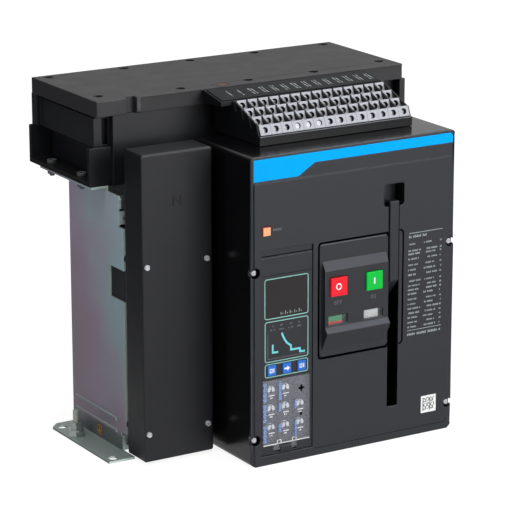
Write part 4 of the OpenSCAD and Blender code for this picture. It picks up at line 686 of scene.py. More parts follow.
def square_loop(low, high, centre, steps=32):
    """Points round a rectangle, each in the direction of the same point of an oval loop."""
    loop = []
    for i in range(steps):
        turn = 2 * math.pi * i / steps
        reach = []
        for k, way in enumerate((math.cos(turn), math.sin(turn))):
            if way > 1e-9:
                reach.append((high[k] - centre[k]) / way)
            elif way < -1e-9:
                reach.append((low[k] - centre[k]) / way)
        loop.append((centre[0] + min(reach) * math.cos(turn), centre[1] + min(reach) * math.sin(turn)))
    return loop


def stroke_loop(points, width):
    """Outline of a pen stroke along the points, with mitred bends."""
    path = [Vector(p) for p in points]
    steps = [(path[i + 1] - path[i]).normalized() for i in range(len(path) - 1)]
    left = []
    right = []
    for i, point in enumerate(path):
        before = steps[max(i - 1, 0)]
        after = steps[min(i, len(steps) - 1)]
        across = Vector((-(before.y + after.y), before.x + after.x)).normalized()
        reach = width / 2 / max(0.4, across.dot(Vector((-after.y, after.x))))
        left.append(tuple(point + across * reach))
        right.append(tuple(point - across * reach))
    return left + right[::-1]


def moved(loop, by):
    """Outline carried along by that much."""
    return [(a + by[0], b + by[1]) for a, b in loop]


# Heights of the front's faces, a print's depth in its face and its height over it

FASCIA = 0.0
UNIT = -0.8
FIELD = -7.0
LID = 0.0
KEY = 0.4
PANEL = 5.0
BUTTON = 7.0
SUNK = 0.15
PRINT = 0.08
LINE = 0.03


def place_piece(name, mesh, look, body):
    """Turns a finished mesh into a named piece that rides on a body."""
    bmesh.ops.recalc_face_normals(mesh, faces=mesh.faces)
    data = bpy.data.meshes.new(name)
    mesh.to_mesh(data)
    mesh.free()
    data.materials.append(finish[look])
    piece = bpy.data.objects.new(name, data)
    scene.collection.objects.link(piece)
    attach(piece, body)
    shade(piece)
    return piece


class Relief:
    """Closed solids standing on one face and rising over it, gathered into one named piece."""

    def __init__(self, name, look, face=FASCIA, rise=PRINT, place=front_point, body=BODY):
        self.name = name
        self.look = look
        self.low = face - SUNK
        self.high = face + rise
        self.place = place
        self.body = body
        self.mesh = bmesh.new()

    def row(self, loop, height):
        """Corners of an outline at a height."""
        return [self.mesh.verts.new(self.place(a, b, height)) for a, b in loop]

    def band(self, first, second):
        """Wall between two rows of corners."""
        for i in range(len(first)):
            j = (i + 1) % len(first)
            self.mesh.faces.new((first[i], first[j], second[j], second[i]))

    def solid(self, loop, low=None, high=None):
        """Upright solid over an outline, at the piece's own levels or at others."""
        base = self.row(loop, self.low if low is None else low)
        top = self.row(loop, self.high if high is None else high)
        self.mesh.faces.new(base[::-1])
        self.mesh.faces.new(top)
        self.band(base, top)

    def ring(self, outer, inner):
        """Upright ring between two outlines of as many points."""
        rows = [self.row(outer, self.low), self.row(outer, self.high), self.row(inner, self.high),
                self.row(inner, self.low)]
        for i in range(4):
            self.band(rows[i], rows[(i + 1) % 4])

    def crowned(self, loop, centre, shoulder):
        """Solid whose top edge is rounded in by the shoulder."""
        rows = [self.row(loop, self.low)]
        for i in range(4):
            turn = math.pi / 2 * i / 3
            inset = shoulder * (1 - math.cos(turn))
            drawn = []
            for a, b in loop:
                span = math.hypot(a - centre[0], b - centre[1])
                share = max(0.0, 1 - inset / span)
                drawn.append((centre[0] + (a - centre[0]) * share, centre[1] + (b - centre[1]) * share))
            rows.append(self.row(drawn, self.high - shoulder + shoulder * math.sin(turn)))
        self.mesh.faces.new(rows[0][::-1])
        self.mesh.faces.new(rows[-1])
        for first, second in zip(rows, rows[1:]):
            self.band(first, second)

    def marks(self, a, b, length, tall, seed):
        """Row of short marks as fine as small print, from its left end and foot; the seed varies them."""
        pitch = 0.62 * tall
        for i in range(max(1, int(length / pitch))):
            if (seed * 5 + i * 3) % 7 == 0:
                continue
            rise = tall * (0.7 + 0.1 * ((seed + i * i) % 4))
            start = a + i * pitch
            self.solid(box_loop((start, b), (start + 0.66 * pitch, b + rise)))

    def done(self):
        """Turns what was gathered into the named piece."""
        place_piece(self.name, self.mesh, self.look, self.body)


def stamp(name, look, *loops, slot=None, **stand):
    """Piece of upright solids over the given outlines."""
    relief = Relief(name, look, **stand)
    for loop in loops:
        relief.solid(loop)
    relief.done()


# Trip unit: printed frames, trip curve and its axes, display ticks and step lines

UNIT_FRAMES = (front_box("display_window"), ((14.0, 92.0), (59.0, 129.3)), ((14.0, 78.0), (58.8, 90.6)))
FRAME_R = 2.4
FRAME_LINE = 0.8
CURVE = ((31.6, 117.4), (32.5, 114.5), (34.6, 110.6), (36.9, 107.4), (40.9, 104.4), (41.1, 100.4),
         (50.3, 100.3), (50.4, 97.3), (55.4, 97.1))
CURVE_PEN = 1.8
CURVE_CORNER = ((22.2, 107.9), (22.2, 100.6), (27.8, 100.4))
CURVE_AXES = ((17.1, 117.7), (17.1, 95.0), (56.7, 95.0))
AXIS_PEN = 0.5
AXIS_PLACES = (22.4, 31.2, 41.0, 50.0)
AXIS_PRINT = ((1.4, 124.0, 3.0, 1.6, 0), (2.6, 120.4, 5.4, 1.7, 3))
TICK_LEFT = 30.4
TICK_PITCH = 4.7
TICK_FOOT = 134.0
TICK_COUNT = 5
TICK_WIDE = 0.6
TICK_TALL = 2.6
TICK_STEP = 0.4
SMALL_TICK = box_loop((2.0, 0.3), (2.6, 1.4))
STEP_LINES = ((188.6, 0.6), (170.9, 0.35))
STEP_LEFT = 11.4
STEP_RIGHT = 62.2

frames = Relief("unit_frames", "teal_ink", UNIT)
for low, high in UNIT_FRAMES:
    inner_low = (low[0] + FRAME_LINE, low[1] + FRAME_LINE)
    inner_high = (high[0] - FRAME_LINE, high[1] - FRAME_LINE)
    frames.ring(round_loop(low, high, FRAME_R), round_loop(inner_low, inner_high, FRAME_R - FRAME_LINE))
frames.done()

curve_strokes = [stroke_loop(path, CURVE_PEN) for path in (CURVE, CURVE_CORNER)]
stamp("trip_curve", "cyan_ink", *curve_strokes, face=UNIT)

axes_print = Relief("curve_axes", "dim_ink", UNIT)
axes_print.solid(stroke_loop(CURVE_AXES, AXIS_PEN))
for i, u in enumerate(AXIS_PLACES):
    for back, v, length, tall, seed in AXIS_PRINT:
        axes_print.marks(u - back, v, length, tall, i + seed)
axes_print.done()

ticks = Relief("display_ticks", "pale_ink", UNIT)
for i in range(TICK_COUNT):
    foot = (TICK_LEFT + TICK_PITCH * i, TICK_FOOT)
    tall = TICK_TALL + TICK_STEP * (i * 2 % 3)
    ticks.solid(moved(box_loop((0.0, 0.0), (TICK_WIDE, tall)), foot))
    ticks.solid(moved(SMALL_TICK, foot))
ticks.done()

step_strokes = [stroke_loop(((STEP_LEFT, v), (STEP_RIGHT, v)), pen) for v, pen in STEP_LINES]
stamp("unit_step_lines", "shadow_gap", *step_strokes, face=UNIT, rise=LINE)

# Keys: an arrow on the middle one, a boxed mark on the others

ARROW = ((-2.9, -0.8), (0.2, -0.8), (0.2, -2.3), (3.0, 0.0), (0.2, 2.3), (0.2, 0.8), (-2.9, 0.8))
KEY_FRAME = box_loop((-2.5, -1.9), (0.3, 1.9))
KEY_OPENING = box_loop((-1.8, -1.2), (-0.4, 1.2))
KEY_BAR = box_loop((1.3, -1.9), (2.2, 1.9))

for name in ("key_left", "key_middle", "key_right"):
    mark = Relief(f"{name}_mark", "white_ink", KEY, body=name)
    middle = front_middle(name)
    if name == "key_middle":
        mark.solid(moved(ARROW, middle))
    else:
        mark.ring(moved(KEY_FRAME, middle), moved(KEY_OPENING, middle))
        mark.solid(moved(KEY_BAR, middle))
    mark.done()

# Setting field with a hole for each dial's shaft, dark parts of the dials, marks on the low band

DIALS = [front_middle(f"dial_{i}") for i in range(1, 9)]
FIELD_COLUMNS = (11.7, 29.5, 44.5, 60.3)
FIELD_ROWS = (15.6, 39.2, 56.6, 75.3)
SHAFT_HOLE = (2.2, 2.2)
DARK_SHARE = 0.47
DARK_FROM = 205.0
DARK_OVER = 130.0
DARK_STEPS = 12
POINTER = ((-1.1, -1.4), (1.1, -1.4), (0.0, 1.1))
NOTCH_HALF = 0.8
NOTCH_FOOT = 1.8
BAND_MARKS = ((21.6, 8.6, 3.4, 2.2, 1), (31.4, 8.2, 2.4, 1.8, 2), (55.0, 8.8, 5.6, 2.6, 4))

field = Relief("setting_field", "setting_field", FIELD, rise=0.12)
for i in range(3):
    for j in range(3):
        low = (FIELD_COLUMNS[i], FIELD_ROWS[j])
        high = (FIELD_COLUMNS[i + 1], FIELD_ROWS[j + 1])
        inside = [p for p in DIALS if low[0] < p[0] < high[0] and low[1] < p[1] < high[1]]
        if inside:
            field.ring(square_loop(low, high, inside[0]), oval_loop(inside[0], SHAFT_HOLE))
        else:
            field.solid(box_loop(low, high))
field.done()

for i, middle in enumerate(DIALS, 1):
    dial_low, dial_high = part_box(f"dial_{i}")
    face = (front_low.y - dial_low.y) / MM
    reach = DARK_SHARE * (dial_high.x - dial_low.x) / MM
    mark = Relief(f"dial_{i}_mark", "dial_ink", face, body=f"dial_{i}")
    turns = [math.radians(DARK_FROM + DARK_OVER * k / DARK_STEPS) for k in range(DARK_STEPS + 1)]
    mark.solid(moved([(reach * math.cos(t), reach * math.sin(t)) for t in turns], middle))
    mark.solid(moved(POINTER, middle))
    mark.solid(moved(((-NOTCH_HALF, reach), (0.0, NOTCH_FOOT), (NOTCH_HALF, reach)), middle))
    mark.done()

low_band = Relief("rating_band_marks", "white_ink", FIELD, rise=0.2)
for row in BAND_MARKS:
    low_band.marks(*row)
low_band.done()

# Print and holes of the clear setting cover

LID_BODY = "setting_cover"
SCALES = ((13.7, 56.6, 73.6), (13.7, 37.4, 54.0), (13.7, 18.4, 34.4), (29.2, 56.2, 73.8), (29.2, 45.6, 54.0),
          (29.2, 26.4, 34.0), (45.2, 45.4, 53.8), (45.2, 18.8, 34.4))
SCALE_PITCH = 1.45
SCALE_TALL = 1.0
SCALE_HALF = 1.5
SCALE_STEP = 0.35
LID_COLUMNS = (27.7, 44.3)
LID_ROWS = (35.0, 55.0)
LID_LOW = (12.4, 16.0)
LID_HIGH = (59.8, 74.6)
LID_HALF_PEN = 0.25
LID_FOOT = box_loop((12.2, 15.4), (60.0, 16.1))
DIAL_LINE = box_loop((-4.6, -4.2), (1.4, -3.5))
DIAL_PRINT = (-3.4, -6.6)
LATCHES = ((28.5, 16.6), (44.1, 16.6))
LATCH_RIM = round_loop((-2.2, -0.9), (2.2, 2.6), 0.7)
LATCH_HOLE = round_loop((-1.6, -0.3), (1.6, 2.0), 0.4)
SEAL_HOLE = oval_loop((51.0, 39.6), (1.3, 1.5))
CROSS = ((-0.9, -3.0), (0.9, -3.0), (0.9, -0.9), (2.9, -0.9), (2.9, 0.9), (0.9, 0.9),
         (0.9, 3.0), (-0.9, 3.0), (-0.9, 0.9), (-2.9, 0.9), (-2.9, -0.9), (-0.9, -0.9))
CROSS_PLACE = (51.4, 63.6)

lid_lines = Relief("setting_cover_lines", "dim_ink", LID, body=LID_BODY)
for u in LID_COLUMNS:
    lid_lines.solid(box_loop((u - LID_HALF_PEN, LID_LOW[1]), (u + LID_HALF_PEN, LID_HIGH[1])))
for v in LID_ROWS:
    lid_lines.solid(box_loop((LID_LOW[0], v - LID_HALF_PEN), (LID_HIGH[0], v + LID_HALF_PEN)))
lid_lines.done()

scales = Relief("setting_scales", "blue_ink", LID, body=LID_BODY)
for u, low, high in SCALES:
    count = int((high - low) / SCALE_PITCH)
    for i in range(count):
        v = low + (high - low) * i / count
        reach = SCALE_HALF + SCALE_STEP * ((i * 7 + int(u)) % 3 - 1)
        scales.solid(box_loop((u - reach, v), (u + reach, v + SCALE_TALL)))
scales.done()

lid_marks = Relief("setting_cover_marks", "white_ink", LID, body=LID_BODY)
for i, (u, v) in enumerate(DIALS):
    lid_marks.solid(moved(DIAL_LINE, (u, v)))
    lid_marks.marks(u + DIAL_PRINT[0], v + DIAL_PRINT[1], 3.2, 1.2, i)
for latch in LATCHES:
    lid_marks.ring(moved(LATCH_RIM, latch), moved(LATCH_HOLE, latch))
lid_marks.solid(LID_FOOT)
lid_marks.done()

cross = moved(CROSS, CROSS_PLACE)
stamp("setting_cover_holes", "shadow_gap", cross, SEAL_HOLE, face=LID, body=LID_BODY)

# Operating panel: button marks and words

OFF_MARK = (85.8, 153.1)
OFF_OUTER = (3.0, 3.1)
OFF_INNER = (1.95, 2.05)
ON_BAR = round_loop((122.7, 150.1), (124.2, 155.7), 0.3)
WORDS = (("OFF", 86.3), ("ON", 123.4))
GLYPHS = {"F": (((0, 0), (0, 1), (0.9, 1)), ((0, 0.52), (0.75, 0.52))),
          "N": (((0, 0), (0, 1), (0.9, 0), (0.9, 1)),)}
LETTER_PEN = 0.5
WORD_LEVEL = 136.2
WORD_TALL = 3.4
LETTER_WIDE = 0.62 * WORD_TALL
LETTER_PITCH = 0.92 * WORD_TALL

off_mark = Relief("off_button_mark", "white_ink", BUTTON, body="off_button")
off_mark.ring(oval_loop(OFF_MARK, OFF_OUTER), oval_loop(OFF_MARK, OFF_INNER))
off_mark.done()

stamp("on_button_mark", "white_ink", ON_BAR, face=BUTTON, body="on_button")


def lettering(relief, text, middle):
    """Stroke letters O, N and F set in a row about the middle."""
    start = middle - (LETTER_PITCH * (len(text) - 1) + LETTER_WIDE) / 2
    for i, letter in enumerate(text):
        a = start + i * LETTER_PITCH
        if letter == "O":
            centre = (a + LETTER_WIDE / 2, WORD_LEVEL + WORD_TALL / 2)
            outer = (LETTER_WIDE / 2, WORD_TALL / 2)
            inner = (outer[0] - LETTER_PEN, outer[1] - LETTER_PEN)
            relief.ring(oval_loop(centre, outer), oval_loop(centre, inner))
            continue
        for path in GLYPHS[letter]:
            points = [(a + LETTER_WIDE * p, WORD_LEVEL + WORD_TALL * q) for p, q in path]
            relief.solid(stroke_loop(points, LETTER_PEN))


panel_words = Relief("panel_words", "dim_ink", PANEL)
for text, middle in WORDS:
    lettering(panel_words, text, middle)
panel_words.done()

# Gaps round panel and guard, line along the cover's foot, lit rim over the panel, word at the reset button

PANEL_PATH = ((142.2, 192.8), (72.0, 192.8), (70.0, 192.2), (69.1, 190.0), (69.1, 90.0), (70.0, 87.6),
              (72.0, 87.0), (142.2, 87.0))
GUARD_PATH = ((154.4, 193.6), (156.6, 193.3), (158.2, 191.6), (158.4, 189.4), (158.3, 92.0), (158.1, 89.6),
              (156.6, 88.0), (154.4, 87.7))
FOOT_PATH = ((66.0, 4.2), (204.0, 4.2), (207.0, 5.2), (208.6, 7.6))
RIM_PATH = ((139.6, 191.0), (73.2, 191.0), (71.6, 190.3))
PANEL_PEN = 1.8
GUARD_PEN = 1.6
FOOT_PEN = 0.35
RIM_PEN = 0.5
RESET_WORD = (22.2, 210.8, 11.2, 2.4, 2)

gap = Relief("panel_gap", "shadow_gap", rise=0.04)
gap.solid(stroke_loop(PANEL_PATH, PANEL_PEN))
gap.solid(stroke_loop(GUARD_PATH, GUARD_PEN))
gap.solid(stroke_loop(FOOT_PATH, FOOT_PEN), high=FASCIA + LINE)
gap.done()

stamp("panel_rim_light", "rim_light", stroke_loop(RIM_PATH, RIM_PEN), rise=0.05)

reset_word = Relief("reset_word", "dim_ink")
reset_word.marks(*RESET_WORD)
reset_word.done()

# Rounded corners of the finger pocket, each with the ways into the pocket

POCKET_CORNERS = ((137.5, 216.5, 1, 1), (159.0, 216.5, -1, 1), (159.0, 237.0, -1, -1), (137.5, 237.0, 1, -1))
POCKET_R = 3.0
POCKET_FLOOR = -14.9
POCKET_LIP = -0.02
POCKET_LAP = 0.1
QUARTER = [math.pi / 2 * i / 8 for i in range(9)]

pocket = Relief("finger_pocket_corners", "front_moulding")
for a, b, along, up in POCKET_CORNERS:
    arc = [(a + along * POCKET_R * (1 - math.sin(t)), b + up * POCKET_R * (1 - math.cos(t))) for t in QUARTER]
    corner = (a - along * POCKET_LAP, b - up * POCKET_LAP)
    pocket.solid([corner] + arc, POCKET_FLOOR, POCKET_LIP)
pocket.done()

# Black sheet of painted shade behind the low end of the handle slot, bent forward along its long sides

SHADE_SHEET_LOW = (143.4, 17.0)
SHADE_SHEET_HIGH = (166.0, 44.6)
SHADE_SHEET_R = 2.0
SHADE_SHEET_THICK = 1.0
SHADE_SHEET_BACK = -13.6
FLANGE_FOOT = 18.5
FLANGE_TOP = 43.0
FLANGE_R = 0.4
FLANGE_BACK = -13.0
FLANGE_FRONT = -9.0

shade_sheet = Relief("slot_shade_sheet", "slot_shade_sheet")
shade_sheet_outline = round_loop(SHADE_SHEET_LOW, SHADE_SHEET_HIGH, SHADE_SHEET_R)
shade_sheet.solid(shade_sheet_outline, SHADE_SHEET_BACK, SHADE_SHEET_BACK + SHADE_SHEET_THICK)
for u in (SHADE_SHEET_LOW[0], SHADE_SHEET_HIGH[0] - SHADE_SHEET_THICK):
    flange = round_loop((u, FLANGE_FOOT), (u + SHADE_SHEET_THICK, FLANGE_TOP), FLANGE_R)
    shade_sheet.solid(flange, FLANGE_BACK, FLANGE_FRONT)
shade_sheet.done()

# Rows of rating marks, and the white label with its dots

RATING_ROWS = (178.6, 172.4, 169.3, 164.7, 159.3, 154.6, 150.0, 144.2, 139.9, 136.0, 132.1, 127.1, 122.7,
               118.4, 114.1, 109.9, 105.5, 101.1)
RATING_TALL = 1.7
RATING_DROP = 0.9
RATING_LEFT = 164.2
RATING_MIDDLE = 181.0
RATING_RIGHT = 198.4
RATING_HEAD = (164.6, 184.2, 20.0, 2.4, 3)
RATING_FOOT = (164.0, 93.0, 36.8, 2.8, 4)
HEAD_LINE = box_loop((165.0, 188.2), (200.8, 188.8))
FOOT_LINE = box_loop((164.0, 97.6), (201.0, 98.1))
LABEL = round_loop((180.2, 16.6), (196.6, 32.8), 0.5)
DOT_START = (182.0, 18.4)
DOT_PITCH = (1.07, 1.04)
DOT_SIZE = (1.0, 0.98)
DOT_LEVELS = (0.05, 0.16)
DOT_COUNT = 12

rating = Relief("rating_print", "pale_ink")
rating.solid(HEAD_LINE)
rating.marks(*RATING_HEAD)
for i, level in enumerate(RATING_ROWS):
    v = level - RATING_DROP
    rating.marks(RATING_LEFT, v, 9.0 + (i * 5) % 6, RATING_TALL, i)
    rating.marks(RATING_MIDDLE + (i * 3) % 5, v, 10.0 + (i * 7) % 4, RATING_TALL, i + 5)
    rating.marks(RATING_RIGHT, v, 2.4, RATING_TALL, i + 9)
rating.solid(FOOT_LINE)
rating.marks(*RATING_FOOT)
rating.done()

stamp("white_label", "sticker_paper", LABEL, rise=0.12)

dots = Relief("label_dots", "dim_ink")
for i in range(DOT_COUNT):
    for j in range(DOT_COUNT):
        if (i * i * 3 + j * 7 + i * j * 5) % 7 > 2:
            continue
        low = (DOT_START[0] + DOT_PITCH[0] * i, DOT_START[1] + DOT_PITCH[1] * j)
        dots.solid(box_loop(low, (low[0] + DOT_SIZE[0], low[1] + DOT_SIZE[1])), *DOT_LEVELS)
dots.done()

# Terminal marker print and dividers, on the strip's own slope

BLOCK_LEFT = 30.4
BLOCK_PITCH = 11.2
BLOCK_COLUMNS = 14
DIVIDER = box_loop((-5.7, 1.0), (-5.4, 26.5))
MARKS_UP = 6
MARK_FOOT = 6.0
MARK_PITCH = 2.3
MARK_TALL = 1.5
MARK_WIDE = 0.6
MARK_STEP = 0.35
FIRST_LINE = -1.6
LINE_PITCH = 2.9

strip_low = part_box("marker_strip")[0]
strip_face = largest_face("marker_strip", UP, 0.5)
strip_normal = strip_face.normal.copy()
strip_up = strip_normal.cross(Vector((1, 0, 0)))
strip_level = strip_normal.dot(strip_face.center)
strip_front_z = (strip_level - strip_normal.y * strip_low.y) / strip_normal.z


def strip_point(u, b, h):
    """Place on the marker strip: b runs up its slope and h out of it."""
    start = Vector((front_low.x + u * MM, strip_low.y, strip_front_z))
    return start + strip_up * (b * MM) + strip_normal * (h * MM)


marker_print = Relief("marker_print", "pale_ink", place=strip_point)
marker_lines = Relief("marker_dividers", "faint_ink", rise=0.05, place=strip_point)
for column in range(BLOCK_COLUMNS):
    middle = BLOCK_LEFT + BLOCK_PITCH * (column + 0.5)
    marker_lines.solid(moved(DIVIDER, (middle, 0.0)))
    for line in range(2 if column > 1 else 1):
        a = middle + FIRST_LINE + LINE_PITCH * line
        for i in range(MARKS_UP):
            b = MARK_FOOT + MARK_PITCH * i
            wide = MARK_WIDE + MARK_STEP * ((column * 3 + i * 5 + line) % 4)
            marker_print.solid(box_loop((a - wide / 2, b), (a + wide / 2, b + MARK_TALL)))
marker_print.done()
marker_lines.done()

# Lines and tag on the top cover, painted highlight along the terminal block's front edge

COVER_LINE = ((-24.0, -9.6), (139.0, -8.0))
COVER_STEP = ((-38.0, -21.5), (-38.0, -10.2), (-24.0, -9.8), (-24.0, -21.5), (-38.0, -21.5))
COVER_LINE_PEN = 0.35
COVER_STEP_PEN = 0.4
COVER_TAG = round_loop((-33.0, -20.0), (-26.0, -14.0), 0.6)
BAR_INSET = 0.4
BAR_LEVELS = (-0.8, -0.1)

cover_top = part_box("top_cover")[1].z
block_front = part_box("terminal_block")[0].y
bar_corners = [v.co for v in nodes["terminal_block"].data.vertices if v.co.y < block_front + ON_SIDE]
bar_left = min(corner.x for corner in bar_corners)
bar_long = max(corner.x for corner in bar_corners) - bar_left
bar_top = max(corner.z for corner in bar_corners)


def cover_point(x, y, h):
    """Place on the top cover."""
    return Vector((x * MM, y * MM, cover_top + h * MM))


def bar_point(a, b, h):
    """Place on the terminal block's front: a from its left end, b from its top edge."""
    return Vector((bar_left + a * MM, block_front - h * MM, bar_top + b * MM))


cover_strokes = (stroke_loop(COVER_LINE, COVER_LINE_PEN), stroke_loop(COVER_STEP, COVER_STEP_PEN))
bar_highlight = box_loop((BAR_INSET, BAR_LEVELS[0]), (bar_long / MM - BAR_INSET, BAR_LEVELS[1]))
stamp("cover_front_line", "shadow_gap", *cover_strokes, rise=LINE, place=cover_point)
stamp("terminal_bar_highlight", "block_edge_highlight", bar_highlight, rise=0.1, place=bar_point)
stamp("cover_tag", "brown_ink", COVER_TAG, rise=0.05, place=cover_point)

# Raised pole mark on the neutral cover, earth mark on the left side plate

POLE_MARK = ((-116.4, 233.6), (-116.4, 242.8), (-109.4, 233.6), (-109.4, 242.8))
POLE_PEN = 1.1
EARTH = (5.5, 9.4)
EARTH_DISC = (5.9, 6.0)
EARTH_SHOULDER = 0.25
EARTH_FACE = 0.35
EARTH_OUTER = (5.0, 5.1)
EARTH_INNER = (4.5, 4.6)
EARTH_STEM = box_loop((-0.35, -0.2), (0.35, 3.4))
EARTH_BARS = ((2.8, 0.0), (1.8, 1.2), (0.9, 2.4))
EARTH_PEN = 0.6

wing_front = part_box("neutral_cover")[0].y
plate_left = largest_face("left_side_plate", LEFT, 0.9).center.x


def wing_point(x, z, h):
    """Place on the neutral cover's front."""
    return Vector((x * MM, wing_front - h * MM, z * MM))


def plate_point(y, z, h):
    """Place on the left side plate's outer face."""
    return Vector((plate_left - h * MM, y * MM, z * MM))


stamp("neutral_pole_mark", "neutral_moulding", stroke_loop(POLE_MARK, POLE_PEN), slot="neutral_moulding",
      rise=0.35, place=wing_point)

earth_disc = Relief("earth_mark_disc", "brown_ink", rise=0.3, place=plate_point)
earth_disc.crowned(oval_loop(EARTH, EARTH_DISC), EARTH, EARTH_SHOULDER)
earth_disc.done()

earth_lines = Relief("earth_mark", "gold_ink", EARTH_FACE, 0.01, plate_point)
earth_lines.ring(oval_loop(EARTH, EARTH_OUTER), oval_loop(EARTH, EARTH_INNER))
earth_lines.solid(moved(EARTH_STEM, EARTH))
for half, drop in EARTH_BARS:
    earth_lines.solid(moved(box_loop((-half, -drop - EARTH_PEN), (half, -drop)), EARTH))
earth_lines.done()

# Closing springs as full coils

SPRING_MEAN = 9.0 * MM
SPRING_WIRE = 1.5 * MM
SPRING_TURNS = 9.0
SPRING_STEPS = 252
WIRE_SIDES = 10

spring_low, spring_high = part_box("closing_springs")
spring_y = (spring_low.y + spring_high.y) / 2
spring_reach = SPRING_MEAN + SPRING_WIRE
spring_tall = spring_high.z - spring_low.z
spring_rise = spring_tall - 2 * SPRING_WIRE
spring_places = {"closing_spring_left": spring_low.x + spring_reach,
                 "closing_spring_right": spring_high.x - spring_reach}


def coil_rise(turns):
    """Height of the wire after that many turns, with one closed coil at each end."""
    closed = 2 * SPRING_WIRE
    if turns < 1:
        return closed * turns
    if turns > SPRING_TURNS - 1:
        return spring_rise - closed * (SPRING_TURNS - turns)
    return closed + (spring_rise - 2 * closed) * (turns - 1) / (SPRING_TURNS - 2)


def spring_coils(name, axis_x):
    """Round wire wound about an upright axis."""
    shell = bmesh.new()
    rings = []
    for i in range(SPRING_STEPS + 1):
        turns = SPRING_TURNS * i / SPRING_STEPS
        outward = Vector((math.cos(2 * math.pi * turns), math.sin(2 * math.pi * turns), 0))
        foot = Vector((axis_x, spring_y, spring_low.z + SPRING_WIRE + coil_rise(turns)))
        ring = []
        for k in range(WIRE_SIDES):
            lean = 2 * math.pi * k / WIRE_SIDES
            offset = outward * math.cos(lean) + UP * math.sin(lean)
            ring.append(shell.verts.new(foot + outward * SPRING_MEAN + offset * SPRING_WIRE))
        rings.append(ring)
    for first, second in zip(rings, rings[1:]):
        for k in range(WIRE_SIDES):
            n = (k + 1) % WIRE_SIDES
            shell.faces.new((first[k], first[n], second[n], second[k]))
    shell.faces.new(rings[0])
    shell.faces.new(rings[-1][::-1])
    return place_piece(name, shell, "shaft_steel", BODY)


for name, axis_x in spring_places.items():
    coil = spring_coils(name, axis_x)
    if name == "closing_spring_left":
        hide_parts("closing_springs")
    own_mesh(coil)


# Stage, in metres: floor and backdrop are white to the camera and dimmer in gloss, most of all at the left

FLOOR_HALF = 9.0
FLOOR_GLOW = 0.75
FLOOR_FADE = (0.3, 2.2)
FLOOR_WHITE = (1.17, 1.29)
FLOOR_TURN = (-0.36, -0.18)
SKY_TURN = (-0.4, 0.1)
GLOSS_LEVELS = (0.05, 0.62)
AMBIENT = 0.2
WHITE = (1, 1, 1, 1)


def ray_kinds(tree):
    """Masks of the rays from the camera and of those in gloss or glass."""
    path = add(tree, "ShaderNodeLightPath").outputs
    return path["Is Camera Ray"], sums(tree, "MAXIMUM", path["Is Glossy Ray"], path["Is Transmission Ray"])


def pale_floor():
    """Matt floor that keeps the object's shadow."""
    tree, shader = start_material("pale_floor")
    fill(tree, shader, {"Base Color": (0.9, 0.9, 0.9, 1), "Roughness": 0.9})
    seen, in_gloss = ray_kinds(tree)
    place = part_place(tree)
    mirrored = spread(tree, axes_of(tree, place)["X"], *FLOOR_TURN, *GLOSS_LEVELS)
    bright = spread(tree, vector_sums(tree, "LENGTH", place), *FLOOR_FADE, *FLOOR_WHITE)
    direct = sums(tree, "MULTIPLY", seen, bright)
    level = sums(tree, "ADD", direct, sums(tree, "MULTIPLY", in_gloss, mirrored))
    glow = add(tree, "ShaderNodeEmission", {"Color": WHITE, "Strength": level}).outputs[0]
    share = sums(tree, "MAXIMUM", sums(tree, "MULTIPLY", seen, FLOOR_GLOW), in_gloss)
    mixed = add(tree, "ShaderNodeMixShader", {0: share, 1: shader.outputs[0], 2: glow})
    fill(tree, tree.nodes["Material Output"], {"Surface": mixed.outputs[0]})


floor_edge = box_loop((-FLOOR_HALF, -FLOOR_HALF), (FLOOR_HALF, FLOOR_HALF))
floor_mesh = bpy.data.meshes.new("floor")
floor_mesh.from_pydata([(x, y, cad_low.z) for x, y in floor_edge], [], [(0, 1, 2, 3)])
pale_floor()
floor_mesh.materials.append(finish["pale_floor"])
floor = bpy.data.objects.new("floor", floor_mesh)
scene.collection.objects.link(floor)

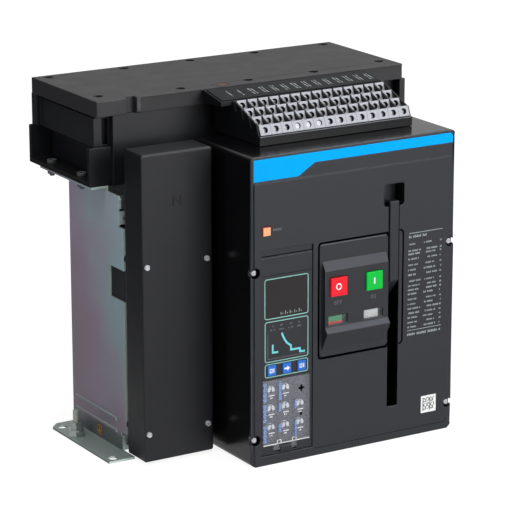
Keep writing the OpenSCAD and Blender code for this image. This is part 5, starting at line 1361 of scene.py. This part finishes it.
scene.world = bpy.data.worlds.new("studio")
scene.world.use_nodes = True
sky = scene.world.node_tree
sky.nodes.clear()
sky_seen, sky_gloss = ray_kinds(sky)
sky_x = axes_of(sky, add(sky, "ShaderNodeTexCoord").outputs["Generated"])["X"]
one_sided = sums(sky, "SUBTRACT", spread(sky, sky_x, *SKY_TURN, *GLOSS_LEVELS), AMBIENT)
soft_part = sums(sky, "ADD", AMBIENT, sums(sky, "MULTIPLY", sky_gloss, one_sided))
sky_level = sums(sky, "MAXIMUM", soft_part, sky_seen)
backdrop = add(sky, "ShaderNodeBackground", {"Color": WHITE, "Strength": sky_level})
add(sky, "ShaderNodeOutputWorld", {"Surface": backdrop.outputs[0]})

centre = (cad_low + cad_high) / 2


def soft_box(name, place, size, power, colour=(1, 1, 1)):
    """Square lamp at a place round the object's middle, aimed at it."""
    lamp = bpy.data.lights.new(name, "AREA")
    lamp.shape = "SQUARE"
    lamp.size = size
    lamp.energy = power
    lamp.color = colour
    box = bpy.data.objects.new(name, lamp)
    box.location = centre + Vector(place)
    box.rotation_mode = "QUATERNION"
    box.rotation_quaternion = (centre - box.location).to_track_quat("-Z", "Y")
    scene.collection.objects.link(box)


soft_box("key_light", (0.6, -1.9, 0.6), 1.1, 24.0)
soft_box("top_light", (0.9, -0.1, 1.6), 0.9, 13.0)
soft_box("side_light", (-1.9, -0.3, 0.7), 0.9, 5.0, (0.94, 0.97, 1.0))
soft_box("top_left_light", (-0.7, -0.4, 1.8), 0.9, 14.0)

# Camera at the photograph's viewing angle

IMAGE_SIDE = 510.0
FOCAL_PIXELS = 2662.1
CAMERA_PLACE = Vector((-1211.9, -2026.4, 809.7)) * MM
YAW = 0.544
PITCH = 0.271
ROLL = 0.002

camera_data = bpy.data.cameras.new("camera")
camera_data.sensor_width = 36.0
camera_data.lens = FOCAL_PIXELS / IMAGE_SIDE * camera_data.sensor_width
camera_data.clip_end = 60.0
camera = bpy.data.objects.new("camera", camera_data)
ahead = Vector((math.sin(YAW) * math.cos(PITCH), math.cos(YAW) * math.cos(PITCH), -math.sin(PITCH)))
upright = ahead.to_track_quat("-Z", "Y").to_matrix()
camera.rotation_mode = "QUATERNION"
camera.location = CAMERA_PLACE
camera.rotation_quaternion = (Matrix.Rotation(ROLL, 3, ahead) @ upright).to_quaternion()
scene.collection.objects.link(camera)
scene.camera = camera

scene.view_settings.view_transform = "Standard"
